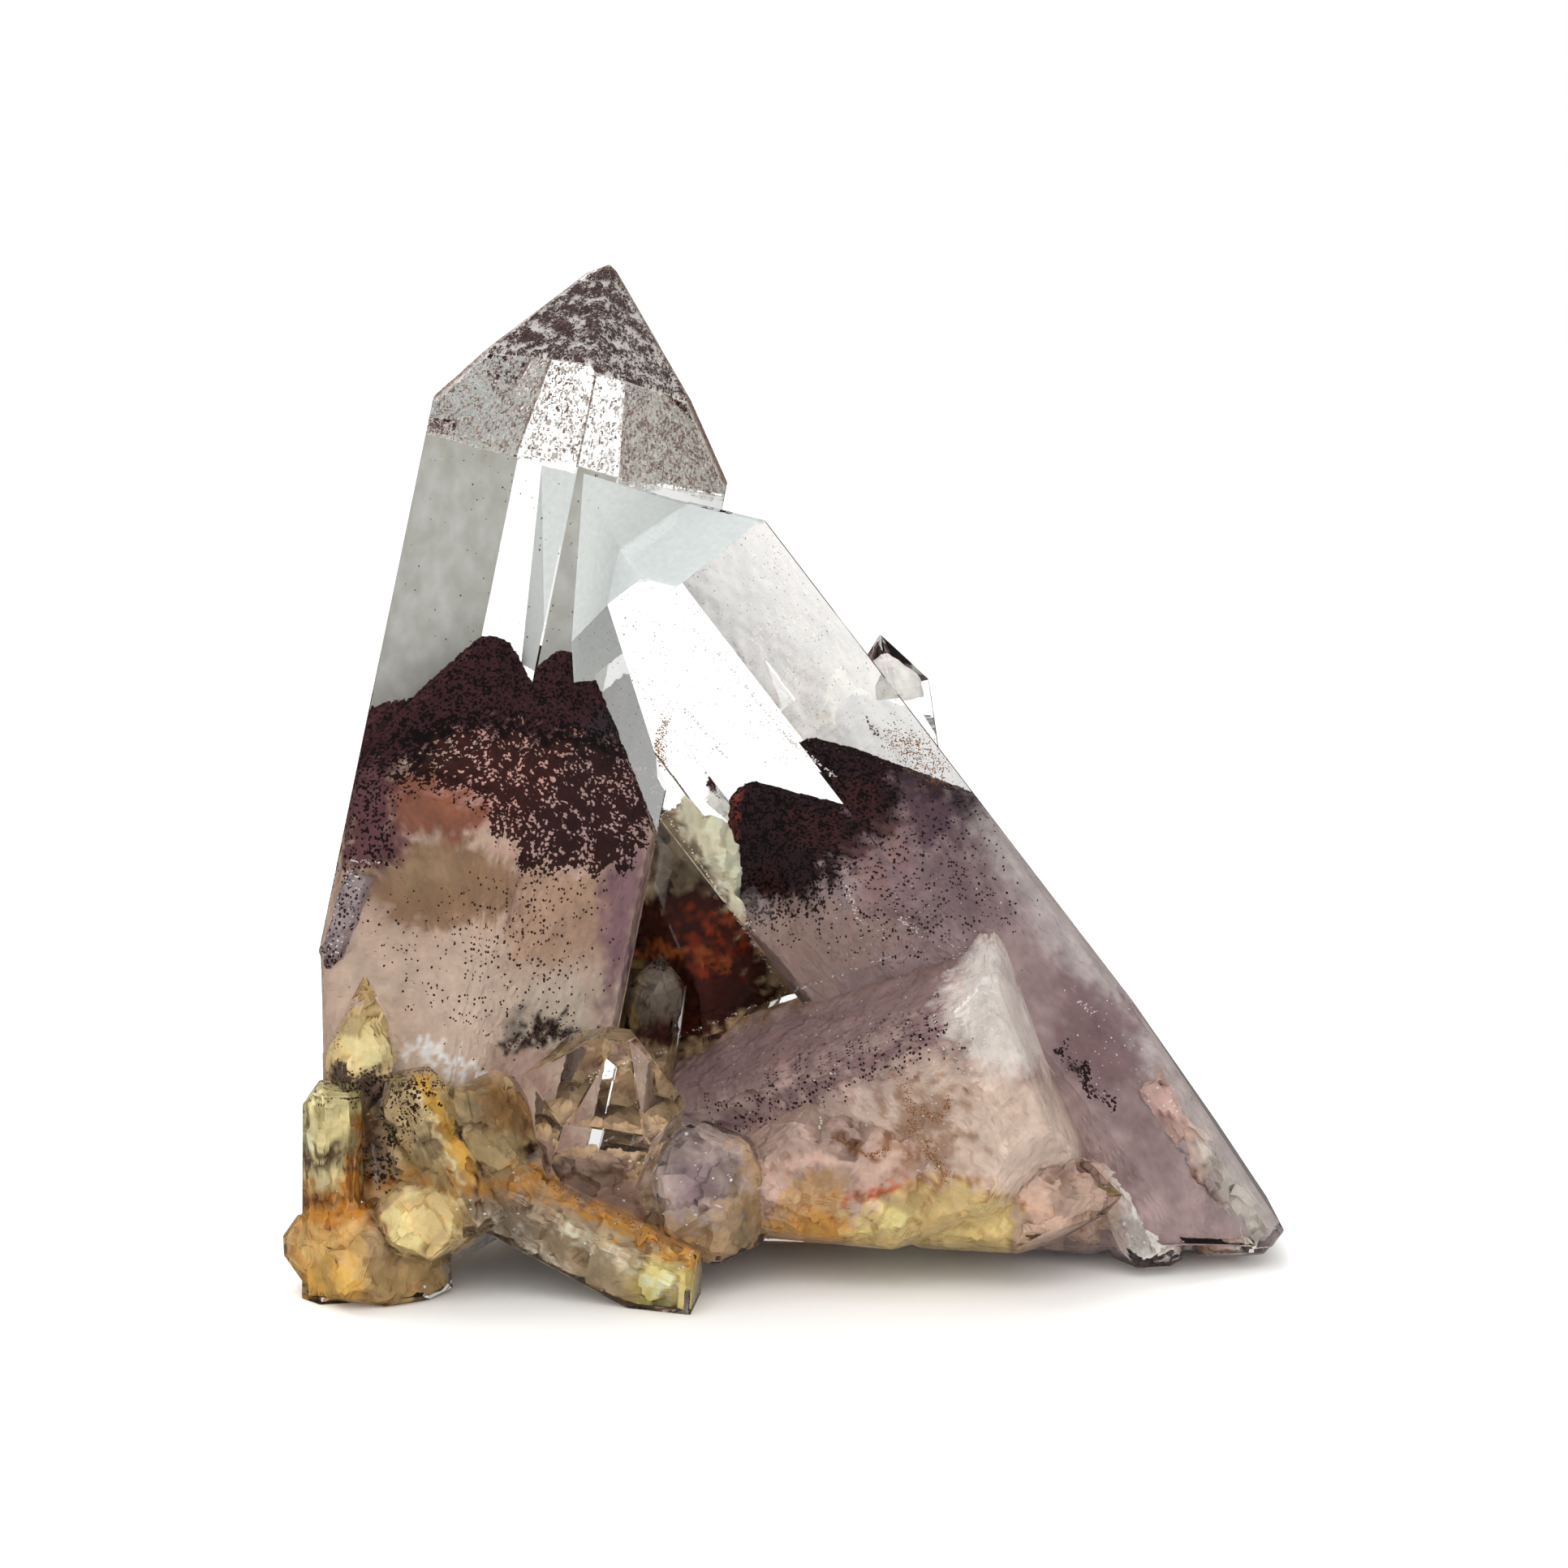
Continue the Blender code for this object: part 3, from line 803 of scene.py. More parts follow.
def flake_sheet(name, crystal, density, inset, longest, material, seed, low=-99):
    """Flakes just inside a crystal's planes, above a height. Density maps a plane's number to the
    share that stays. From 1 on, the sheet stays whole."""
    planes = crystal_planes(crystal, inset)
    block = cut_block(planes, middle_of(crystal))
    wanted = set()
    for face in block.faces:
        for number in density:
            point, outward = planes[number]
            off = abs((face.verts[0].co - point).dot(outward))
            if face.normal.dot(outward) > 0.9995 and off < ON_PLANE:
                wanted.add(face)
    others = [face for face in block.faces if face not in wanted]
    bmesh.ops.delete(block, geom=others, context="FACES")
    divide(block, longest)
    chance = np.random.default_rng(seed)
    corners = np.array([vert.co[:] for vert in block.verts])
    loose = max(density.values()) < 1
    shaken = corners + chance.uniform(-SHAKE, SHAKE, corners.shape) * longest * loose
    for vert, place in zip(block.verts, shaken):
        vert.co = place
    centres = np.array([face.calc_center_median()[:] for face in block.faces])
    away = np.array([[abs((Vector(c) - planes[number][0]).dot(planes[number][1])) for number in density]
                     for c in centres])
    shares = np.array(list(density.values()))[away.argmin(axis=1)]
    patchy = shares * (1 + 0.45 * ripple(centres, WIDE_PATCH, seed)
                       + 0.35 * ripple(centres, SMALL_PATCH, seed + 1))
    stays = (shares >= 1) | (chance.random(len(centres)) < patchy)
    stays &= centres[:, 2] > low
    lost = [face for face, kept in zip(block.faces[:], stays) if not kept]
    bmesh.ops.delete(block, geom=lost, context="FACES")
    under = bmesh.ops.extrude_face_region(block, geom=block.faces[:], use_keep_orig=True)
    for vert in under["geom"]:
        if isinstance(vert, bmesh.types.BMVert):
            vert.co += FLAKE_THICK * (middle_of(crystal) - vert.co).normalized()
    bmesh.ops.recalc_face_normals(block, faces=block.faces)
    print(name, "has", len(block.faces), "faces")
    return add_piece(name, settle(block), material)


def put_together(blocks):
    """Several blocks kept in one, each with its own faces."""
    whole = bmesh.new()
    for block in blocks:
        mesh = bpy.data.meshes.new("part")
        block.to_mesh(mesh)
        block.free()
        whole.from_mesh(mesh)
        bpy.data.meshes.remove(mesh)
    return whole


HANDFUL = 40
FLATTENED = Matrix.Diagonal((1, 1, 0.5, 1))


def specks(name, places, sizes, material, seed):
    """Small eight-sided grains at places, between two sizes, in one piece. They are made by the
    handful, because an operator takes longer the more a block already holds."""
    chance = random.Random(seed)
    handfuls = []
    for number, place in enumerate(places):
        if number % HANDFUL == 0:
            handfuls.append(bmesh.new())
        size = chance.uniform(*sizes)
        tipped = Matrix.Rotation(chance.uniform(0, math.pi), 4, "X")
        spun = Matrix.Rotation(chance.uniform(0, math.pi), 4, "Z")
        put = Matrix.Translation(place) @ tipped @ spun @ FLATTENED
        bmesh.ops.create_uvsphere(handfuls[-1], u_segments=4, v_segments=2, radius=size / 2, matrix=put)
    block = put_together(handfuls)
    print(name, "has", len(block.faces), "faces")
    return add_piece(name, settle(block), material)


def inside(planes, place, gap):
    """Whether a place is at least gap inside all planes."""
    return all((place - point).dot(outward) < -gap for point, outward in planes)


TRIES = 60


def places_in(planes, low, high, count, seed, gap):
    """Random places between two corners that lie inside the planes."""
    chance = random.Random(seed)
    found = []
    for _ in range(count * TRIES):
        place = Vector([chance.uniform(a, b) for a, b in zip(low, high)])
        if inside(planes, place, gap):
            found.append(place)
            if len(found) == count:
                break
    return found


# %% [markdown]
# ## Dust under the point faces
# The great crystal's last dust lies under its six point faces, dense and maroon in front and to the
# right, thin behind. Fine white dust lies under it and breaks up what those faces would mirror. A
# haze of fine bubbles is on the back left prism face, which the front face shows as a pale grey band,
# and another is under the leaning crystal's point faces. Its bubbles can't be seen singly, so a haze
# is a whole sheet.

# %% Tip dust
GREAT = NAMED["great"]
flake_sheet("tip_dust", GREAT, {2: 0.47, 4: 0.36}, inset=0.25, longest=0.24,
            material=DARK_FLAKE, seed=31)
flake_sheet("back_dust", GREAT, {6: 0.46, 8: 0.14, 10: 0.10, 12: 0.12}, inset=0.25, longest=0.24,
            material=BROWN_FLAKE, seed=33)
flake_sheet("tip_veil", GREAT, {2: 0.85, 4: 0.80, 6: 0.80, 8: 0.12, 10: 0.12, 12: 0.8},
            inset=0.45, longest=0.3, material=PALE_FLAKE, seed=37)

# %% Hazes
# To the eye a haze is a soft white with a breath of grey-green, or a cool white.
WHOLE = 3.0
LEANING = NAMED["leaning"]
BAND = flake_material("grey-green haze, very fine bubbles", "#ffffff", "#c3c4b4", 1.8)
flake_sheet("side_veil", GREAT, {9: WHOLE}, inset=0.3, longest=0.6,
            material=BAND, seed=41, low=38.0)
COOL = flake_material("cool white haze, very fine bubbles", "#f7fbfa", "#e0e7e6")
flake_sheet("leaning_veil", LEANING, {2: WHOLE, 4: WHOLE, 6: WHOLE, 8: 0.8, 10: 0.8, 12: WHOLE},
            inset=0.3, longest=0.5, material=COOL, seed=43)

# %% [markdown]
# ## The great crystal's phantom
# The dark phantom is one small point near the back of the great crystal. The two front faces show
# it twice, side by side. Its prism faces lie parallel to the outer ones, and it fills the lower half.
# The same plane cutter makes it, with a few more planes that blunt its point, as thick dust does.

# %% Great phantom
BLUNT = 1.2
SHOULDER_DROP = 0.75 * BLUNT
SHOULDER_SLOPE = math.radians(64)
BREAK_GAP = 0.5
PHANTOM_FOOT = 0.4
LOBE_GRAIN = 0.07
LOBE_MESH = 0.45


def phantom_planes(crystal, tip, gaps):
    """Planes parallel to a crystal's: prism faces a gap inside the outer ones, and a point that is
    rounded by six shallow shoulders and a small level top."""
    planes = crystal_planes(crystal)
    along = axes_of(crystal)[0]
    inner = [planes[0], (Vector(tip) - BLUNT * along, along)]
    for number, gap in enumerate(gaps):
        point, outward = planes[1 + 2 * number]
        inner.append((point - gap * outward, outward))
        inner.append((Vector(tip), planes[2 + 2 * number][1]))
        inner.append((Vector(tip) - SHOULDER_DROP * along,
                      math.cos(SHOULDER_SLOPE) * outward + math.sin(SHOULDER_SLOPE) * along))
    inner.extend((point - BREAK_GAP * outward, outward) for point, outward in planes[13:])
    inner.append((Vector((0, 0, PHANTOM_FOOT)), Vector((0, 0, -1))))
    return inner


def grainy(block, most, seed):
    """Shakes the corners of a block a little, so that its outline is grainy."""
    chance = np.random.default_rng(seed)
    for vert in block.verts:
        vert.co += Vector(chance.uniform(-most, most, 3))
    return block


def phantom(name, crystal, tip, gaps, seed):
    """A crystal's phantom: a block cut by its own planes, divided and grainy."""
    core = divide(cut_block(phantom_planes(crystal, tip, gaps), middle_of(crystal)), LOBE_MESH)
    return add_piece(name, settle(grainy(core, LOBE_GRAIN, seed)), CLOUDY)


GREAT_TIP = (-18.1, 9.7, 43.5)
GREAT_GAPS = (2.5, 2.3, 0.9, 0.9, 0.9, 0.9)
GREAT_ZONES = (
    Zone("lower quartz", "area", "#c8b3a3", 0.9, 60, 4,
         ((380, 1160), (800, 1160), (800, 1450), (380, 1450))),
    Zone("brown ghost", "spot", "#876a52", 0.95, 9, 5, ((538, 1090),), (84, 52)),
    Zone("ghost heart", "spot", "#9c8568", 0.6, 12, 6, ((520, 1072),), (44, 20)),
    Zone("red patch", "spot", "#80503f", 0.95, 12, 6, ((545, 988),), (76, 46)),
    Zone("red glow", "spot", "#a4674f", 0.6, 14, 6, ((562, 985),), (44, 16)),
    Zone("maroon side", "area", "#5b383e", 0.95, 14, 6,
         ((430, 880), (500, 900), (482, 1000), (500, 1060), (425, 1085), (415, 960))),
    Zone("maroon specks", "area", DUST, 0.35, 14, 6,
         ((430, 880), (500, 900), (482, 1000), (500, 1060), (425, 1085), (415, 960))),
    Zone("ridge shade", "line", "#5f443f", 0.85, 9, 4, ((652, 1010), (638, 1080), (624, 1140)), (24, 0)),
    Zone("left dark", "area", "#3a2026", 1.0, 12, 7,
         ((560, 720), (650, 720), (720, 850), (690, 915), (640, 925),
          (560, 918), (520, 945), (430, 950), (430, 840))),
    Zone("left rim", "line", "#5f393b", 0.8, 7, 4,
         ((461, 904), (496, 879), (528, 843), (559, 812), (591, 781),
          (623, 781), (649, 808), (665, 845)), (12, 0)),
    Zone("left grain", "area", DUST, 0.42, 10, 6,
         ((430, 720), (690, 720), (690, 960), (500, 970), (440, 990))),
    Zone("left speckled", "area", "#c99d92", 0.95, 16, 9,
         ((545, 915), (690, 900), (660, 1070), (630, 1050), (600, 985), (540, 960))),
    Zone("left specks", "area", DUST, 0.88, 16, 6,
         ((500, 895), (690, 885), (660, 1080), (620, 1050), (595, 980), (500, 960))),
    Zone("right dark", "area", "#3a2e33", 1.0, 20, 8,
         ((686, 740), (760, 740), (830, 945), (780, 940), (655, 930), (668, 870))),
    Zone("right grain", "area", DUST, 0.42, 7, 5,
         ((655, 760), (810, 760), (810, 940), (655, 940))),
    Zone("right speckled", "area", "#b79793", 0.95, 16, 8,
         ((655, 925), (810, 935), (800, 1020), (775, 1064), (720, 1068), (634, 1062))),
    Zone("right specks", "area", DUST, 0.90, 9, 5,
         ((655, 905), (810, 915), (800, 1020), (774, 1072), (720, 1076), (630, 1068))),
    Zone("right lower", "area", "#b5957f", 0.9, 20, 5, ((636, 1070), (770, 1070), (760, 1180), (620, 1190))),
    Zone("right mauve", "area", "#876770", 0.9, 14, 5, ((742, 1075), (800, 1040), (775, 1200), (742, 1260))),
    Zone("sparse specks", "area", DUST, 0.10, 30, 10,
         ((440, 1110), (750, 1090), (740, 1270), (600, 1290), (470, 1200))),
    Zone("denser specks", "area", DUST, 0.17, 25, 8, ((560, 1100), (720, 1080), (700, 1230), (600, 1200))),
    Zone("ghost crystal", "area", "#c9bcab", 0.9, 5, 2,
         ((635, 1236), (680, 1195), (718, 1212), (727, 1246), (700, 1290), (625, 1300))),
    # The ghost crystal's side face is painted darker than its front: painted shade.
    Zone("ghost side", "area", "#8b8178", 0.85, 4, 2, ((615, 1284), (642, 1229), (650, 1236), (640, 1284))),
    Zone("pinkish foot", "area", "#b08f82", 0.8, 14, 5, ((600, 1300), (720, 1290), (720, 1400), (600, 1400))),
    Zone("black crust left", "line", "#2a2222", 1.0, 3, 7, ((620, 1290), (652, 1280)), (11, 0)),
    Zone("black crust", "line", "#221b1c", 1.0, 3, 8, ((650, 1284), (678, 1266), (712, 1276)), (22, 0)),
    Zone("white fracture", "line", "#f4eeea", 0.9, 4, 7, ((508, 1290), (540, 1300), (590, 1335)), (16, 0)),
    Zone("pale rim", "line", "#d9b9ab", 0.8, 5, 3, ((678, 1062), (718, 1078)), (12, 0)),
)
great_phantom = phantom("great_phantom", GREAT, GREAT_TIP, GREAT_GAPS, 91)
paint(great_phantom, "#b9a08f", GREAT_ZONES, GREAT)

# %% [markdown]
# ## The leaning crystal's phantom
# The leaning crystal stopped growing at the same time, so it has a phantom too. It is nearly black on
# the left face and fades on the right one from violet to a dusty mauve, with only a little grain.

# %% Leaning phantom
LEANING_TIP = (-2.3, 9.0, 35.0)
LEANING_GAPS = (1.0, 1.6, 1.2, 0.9, 0.9, 0.9)
LEANING_ZONES = (
    Zone("grey edge", "line", "#b7adab", 0.95, 26, 5,
         ((1180, 960), (1300, 1120), (1420, 1290), (1560, 1490)), (70, 0)),
    Zone("right mauve", "area", "#7d686c", 0.9, 36, 8,
         ((1030, 1000), (1130, 1040), (1200, 1030), (1250, 1120), (1190, 1170), (1100, 1130))),
    Zone("right purple", "area", "#5c4850", 1.0, 24, 6,
         ((950, 850), (1062, 925), (1200, 975), (1190, 1040), (1110, 1050), (1040, 1010), (960, 900))),
    Zone("right dark edge", "line", "#35282e", 0.95, 18, 6,
         ((975, 900), (1034, 922), (1079, 938), (1143, 957), (1190, 984)), (34, 0)),
    Zone("left dark", "area", "#2a181d", 1.0, 14, 7,
         ((870, 960), (925, 930), (1010, 930), (1062, 1000),
          (1075, 1050), (1020, 1080), (1010, 1118), (880, 1125))),
    Zone("reddish dark", "spot", "#4a2624", 0.5, 12, 7, ((1005, 1022),), (34, 24)),
    Zone("red rim", "line", "#7d3d37", 0.9, 7, 4, ((902, 985), (899, 1090)), (16, 0)),
    Zone("lower left", "area", "#a08880", 0.95, 24, 8,
         ((880, 1125), (1010, 1112), (1120, 1150), (1000, 1230), (930, 1190))),
    Zone("red haze", "area", "#85605d", 0.5, 20, 6, ((1050, 1040), (1090, 1060), (1115, 1130), (1062, 1120))),
    Zone("phantom specks", "area", DUST, 0.17, 40, 8,
         ((880, 920), (1200, 960), (1260, 1150), (1100, 1180), (890, 1130))),
    Zone("left grain", "area", DUST, 0.45, 16, 8,
         ((870, 930), (1030, 930), (1062, 1060), (1000, 1135), (880, 1135))),
    Zone("mauve patch", "area", "#7f6466", 0.8, 20, 7,
         ((1292, 1190), (1400, 1240), (1415, 1345), (1320, 1330))),
    Zone("speck line", "line", DUST, 0.8, 6, 4, ((1306, 1290), (1335, 1330), (1365, 1360)), (12, 0)),
)
leaning_phantom = phantom("leaning_phantom", LEANING, LEANING_TIP, LEANING_GAPS, 92)
paint(leaning_phantom, "#a18c8b", LEANING_ZONES, LEANING)

# %% [markdown]
# ## The root
# Everything below is older quartz too, in cloudy blocks a little inside the skin. Broken quartz comes
# away in flat shards, so each point belongs to the nearest of many scattered shards and sinks to its
# tilted plane. Each shard also takes a random tone, which is painted light and shade: it stands in for
# how brightly its facet is lit.

# %% Root lumps
GRAIN = 0.55
SHARD = 1.9
SHARD_TILT = 0.34
DEEPEST_SHARD = 1.1
# Painted light and shade: each shard is lightened or darkened at random by up to this share, as if its facet
# caught more or less light.
SHARD_LIGHT_AND_SHADE = 0.26


def shards(points, seed):
    """How deep each point sinks to its shard's plane, and for each point its shard's painted light and shade:
    a random tone that stands in for how brightly its facet is lit.
    """
    chance = np.random.default_rng(seed)
    low, high = points.min(axis=0) - SHARD, points.max(axis=0) + SHARD
    hearts = chance.uniform(low, high, (int(np.prod((high - low) / SHARD)), 3))
    nearby = KDTree(len(hearts))
    for number, heart in enumerate(hearts):
        nearby.insert(heart, number)
    nearby.balance()
    nearest = np.array([nearby.find(point)[1] for point in points])
    tilts = chance.normal(size=hearts.shape) * SHARD_TILT
    depth = 0.5 * SHARD * SHARD_TILT + np.sum((points - hearts[nearest]) * tilts[nearest], axis=1)
    return np.clip(depth, 0, DEEPEST_SHARD), chance.uniform(-1, 1, len(hearts))[nearest]


def cloudy_body(name, shapes, inset, zones, ground, worn=1.0, broken=1.0):
    """Shapes cut a little inside the skin and kept together in one piece, worn, broken and painted, with
    painted light and shade on each shard.
    They are opaque, so the faces hidden where they overlap don't show."""
    parts = [divide(cut_block(planes_of(shape, inset), middle_of(shape)), GRAIN) for shape in shapes]
    made = add_piece(name, settle(put_together(parts)), CLOUDY)
    body = made.data
    block = bmesh.new()
    block.from_mesh(body)
    block.normal_update()
    places = np.array([vert.co[:] for vert in block.verts]) / MM
    depths, painted_facet_light = shards(places, 53)
    sunk = worn * (0.14 * np.abs(ripple(places, 1.7, 51)) + 0.09 * np.abs(ripple(places, 0.7, 52)))
    for vert, depth in zip(block.verts, sunk + broken * depths):
        vert.co -= float(depth * MM) * vert.normal
        vert.co.z = max(vert.co.z, inset * MM)
    block.to_mesh(body)
    block.free()
    paint(made, ground, zones, painted_facet_light=SHARD_LIGHT_AND_SHADE * min(broken, 1.0) * painted_facet_light)
    return made


def glitter(name, body, areas, sizes, material, seed):
    """Small grains on a body, where it shows inside the areas. Each area holds its two corners,
    in pixels, and a number of grains."""
    block = bmesh.new()
    block.from_mesh(body.data)
    block.normal_update()
    places = np.array([(vert.co / MM - SHIFT)[:] for vert in block.verts])
    normals = np.array([vert.normal[:] for vert in block.verts])
    block.free()
    pixels = pixels_of(places)
    chance = np.random.default_rng(seed)
    chosen = []
    for (u0, v0), (u1, v1), count in areas:
        shown = np.flatnonzero((pixels[:, 0] > u0) & (pixels[:, 0] < u1) & (pixels[:, 1] > v0)
                               & (pixels[:, 1] < v1) & (normals[:, 1] < 0.1))
        if len(shown):
            chosen.extend(chance.choice(shown, min(count, len(shown)), replace=False))
    return specks(name, [Vector(places[i]) for i in chosen], sizes, material, seed)


LYING_ZONES = (
    Zone("upper face", "area", "#9b8281", 0.95, 14, 5,
         ((760, 1420), (850, 1300), (1200, 1165), (1165, 1250), (918, 1350))),
    Zone("golden top", "area", "#98795b", 0.9, 12, 5,
         ((820, 1265), (970, 1205), (1100, 1175), (1206, 1140),
          (1185, 1178), (1060, 1222), (950, 1256), (850, 1300))),
    Zone("lavender band", "line", "#765b62", 0.85, 16, 7,
         ((1165, 1265), (1060, 1312), (940, 1368), (860, 1405)), (26, 0)),
    Zone("lower front", "area", "#d6c3b5", 0.95, 18, 5,
         ((880, 1430), (1020, 1370), (1165, 1300), (1330, 1370),
          (1352, 1432), (1246, 1478), (1000, 1530), (920, 1500))),
    Zone("frost", "area", "#dcd5cf", 0.9, 14, 7,
         ((1160, 1250), (1206, 1155), (1265, 1190), (1300, 1320), (1215, 1320))),
    Zone("ochre block", "area", "#bf9d72", 0.85, 8, 6,
         ((968, 1450), (1038, 1440), (1046, 1512), (960, 1515))),
    Zone("orange foot", "area", "#cc9a50", 0.9, 12, 7,
         ((945, 1494), (1045, 1486), (1050, 1530), (940, 1530))),
    Zone("yellow foot", "area", "#dcc48c", 0.95, 12, 7,
         ((1050, 1498), (1098, 1464), (1180, 1452), (1250, 1478), (1245, 1545), (1050, 1540))),
    Zone("rust edge", "line", "#a06c33", 0.85, 5, 5, ((1098, 1464), (1180, 1448), (1250, 1478)), (8, 0)),
    Zone("red mark", "line", "#b5562e", 0.9, 4, 3, ((1047, 1476), (1080, 1470), (1113, 1457)), (7, 0)),
    Zone("squiggle", "line", "#7e5233", 0.9, 4, 3,
         ((1025, 1402), (1052, 1412), (1075, 1430), (1092, 1422), (1098, 1398)), (7, 0)),
    Zone("rust specks", "area", "#8f6138", 0.55, 12, 16,
         ((1100, 1335), (1178, 1345), (1185, 1430), (1110, 1450))),
    Zone("band specks", "area", DUST, 0.25, 20, 8, ((850, 1380), (1160, 1240), (1180, 1290), (900, 1420))),
)
lying_body = cloudy_body("lying_cloud", [NAMED["lying"]], 0.55, LYING_ZONES, "#bda59c",
                         broken=0.3)

LEFT_ZONES = (
    Zone("wedge", "area", "#dcc594", 0.95, 6, 3, ((450, 1190), (505, 1325), (395, 1320))),
    Zone("wedge brown", "spot", "#a87a40", 0.55, 10, 9, ((448, 1228),), (20, 22)),
    Zone("crust", "line", "#5d4a43", 0.9, 8, 7, ((410, 1335), (512, 1338)), (30, 0)),
    Zone("column", "area", "#dccf9c", 0.95, 5, 3, ((372, 1340), (440, 1340), (432, 1480), (366, 1480))),
    Zone("orange streak", "line", "#c47a1a", 0.95, 6, 5, ((440, 1380), (430, 1475)), (16, 0)),
    Zone("column crust", "line", "#40261f", 0.9, 6, 6, ((370, 1432), (412, 1422)), (22, 0)),
    # The dark strip is painted shade, in the gap between the column and the slanting lump.
    Zone("dark strip", "line", "#4a3122", 0.9, 7, 6, ((464, 1350), (456, 1450)), (26, 0)),
    Zone("slanting", "area", "#b39d74", 0.9, 8, 4, ((478, 1325), (660, 1340), (650, 1465), (490, 1465))),
    Zone("grey pocket", "spot", "#6b5a45", 0.7, 12, 6, ((540, 1405),), (24, 30)),
    Zone("grey pocket 2", "spot", "#6f6152", 0.6, 12, 6, ((600, 1370),), (30, 24)),
    Zone("yellow rod", "line", "#d3a64c", 0.9, 5, 2, ((522, 1340), (588, 1465)), (20, 0)),
    Zone("middle grey", "area", "#a4917c", 0.95, 12, 6, ((585, 1470), (700, 1470), (760, 1600), (590, 1600))),
    Zone("orange band", "line", "#b98342", 0.9, 9, 8,
         ((375, 1478), (480, 1452), (560, 1466), (650, 1452), (700, 1462)), (20, 0)),
    Zone("amber lump", "area", "#d6b274", 0.95, 8, 4, ((365, 1480), (450, 1485), (450, 1612), (350, 1612))),
    Zone("amber top", "line", "#c5811f", 0.9, 12, 6, ((370, 1492), (448, 1492)), (26, 0)),
    Zone("knob", "spot", "#dcc48f", 0.95, 8, 4, ((522, 1502),), (50, 44)),
    Zone("foot", "area", "#b39667", 0.95, 10, 5, ((440, 1555), (600, 1550), (600, 1620), (440, 1620))),
    Zone("foot yellow", "area", "#cda658", 0.9, 10, 5, ((350, 1560), (440, 1550), (450, 1620), (350, 1620))),
    Zone("ledge", "area", "#b9a384", 0.9, 8, 4, ((680, 1480), (860, 1555), (860, 1620), (680, 1570))),
    Zone("ledge end", "spot", "#dccb86", 0.9, 12, 4, ((822, 1580),), (48, 34)),
    Zone("ledge ridge", "line", "#cc9547", 0.95, 7, 8,
         ((665, 1455), (700, 1478), (790, 1520), (860, 1558)), (22, 0)),
    # The hole is painted shade: near black where the recess is dark.
    Zone("hole", "spot", "#38201a", 1.0, 4, 2, ((651, 1420),), (16, 12)),
    Zone("brown by hole", "area", "#9b7142", 0.8, 10, 5,
         ((590, 1335), (655, 1345), (650, 1400), (600, 1390))),
    # Painted shade under the stub crystal.
    Zone("under stub", "area", "#8d7468", 0.95, 10, 5, ((660, 1395), (770, 1390), (800, 1500), (700, 1480))),
    Zone("druse", "spot", "#b3a29e", 0.95, 14, 8, ((855, 1440),), (55, 62)),
    Zone("druse heart", "spot", "#8b777b", 0.8, 14, 8, ((865, 1455),), (28, 30)),
    Zone("pale nook", "area", "#e3dcc2", 0.95, 8, 4,
         ((836, 940), (965, 940), (965, 1125), (906, 1112), (850, 1010))),
    Zone("smoky wedge", "area", "#7d6e59", 0.95, 8, 7, ((790, 960), (835, 985), (900, 1100), (800, 1120))),
    Zone("iron", "area", "#3d1912", 1.0, 8, 7,
         ((785, 1105), (880, 1085), (960, 1230), (850, 1290), (745, 1275), (765, 1180))),
    Zone("iron glow", "spot", "#933716", 0.85, 14, 14, ((880, 1158),), (24, 28)),
    Zone("iron vein", "line", "#a85a2e", 0.9, 5, 5,
         ((778, 1180), (815, 1166), (850, 1170), (890, 1188)), (9, 0)),
    Zone("nook crystal", "spot", "#7d7266", 0.9, 8, 4, ((810, 1222),), (24, 34)),
    Zone("nook olive", "area", "#9a8150", 0.9, 8, 4, ((748, 1180), (788, 1180), (785, 1270), (745, 1275))),
    Zone("crust specks", "line", DUST, 0.5, 8, 7, ((405, 1335), (515, 1340), (470, 1450)), (30, 0)),
    # The pale column edge, the pale rod edge and the knob rim below are painted highlights, along edges and
    # on the knob's top.
    Zone("pale column edge", "line", "#ece6bb", 0.8, 3, 3, ((384, 1350), (386, 1412)), (8, 0)),
    Zone("pale rod edge", "line", "#f0deb0", 0.8, 3, 3, ((512, 1345), (575, 1462)), (7, 0)),
    Zone("pale ledge streak", "line", "#e8dfca", 0.8, 4, 5, ((690, 1510), (760, 1545), (830, 1590)), (10, 0)),
    Zone("pale middle streak", "line", "#e2d9c8", 0.75, 4, 6,
         ((600, 1500), (650, 1530), (700, 1560)), (10, 0)),
    Zone("knob rim", "line", "#f0e2b6", 0.7, 4, 4, ((478, 1480), (520, 1462), (566, 1480)), (8, 0)),
    # The three crevice lines are painted shade, in creases between the lumps.
    Zone("amber crevice", "line", "#6a3d14", 0.85, 4, 5,
         ((372, 1478), (450, 1478), (470, 1500), (478, 1550)), (7, 0)),
    Zone("middle crevice", "line", "#5c4631", 0.8, 4, 6, ((585, 1470), (600, 1520), (596, 1560)), (8, 0)),
    Zone("stub crevice", "line", "#45302b", 0.85, 5, 6,
         ((660, 1405), (700, 1425), (770, 1420), (800, 1400)), (10, 0)),
)
LEFT = ("column", "slant_left", "slant_right", "ledge", "wedge", "nook")
LEFT_LUMPS = ("left_root", "left_heart", "left_foot", "amber_knob", "middle_root", "druse",
              "iron_nook", "back_root")
NAMED.update((lump.name, lump) for lump in LUMPS)
left_body = cloudy_body("left_root_cloud", [NAMED[name] for name in LEFT + LEFT_LUMPS],
                        0.35, LEFT_ZONES, "#b59a78", worn=0.6)

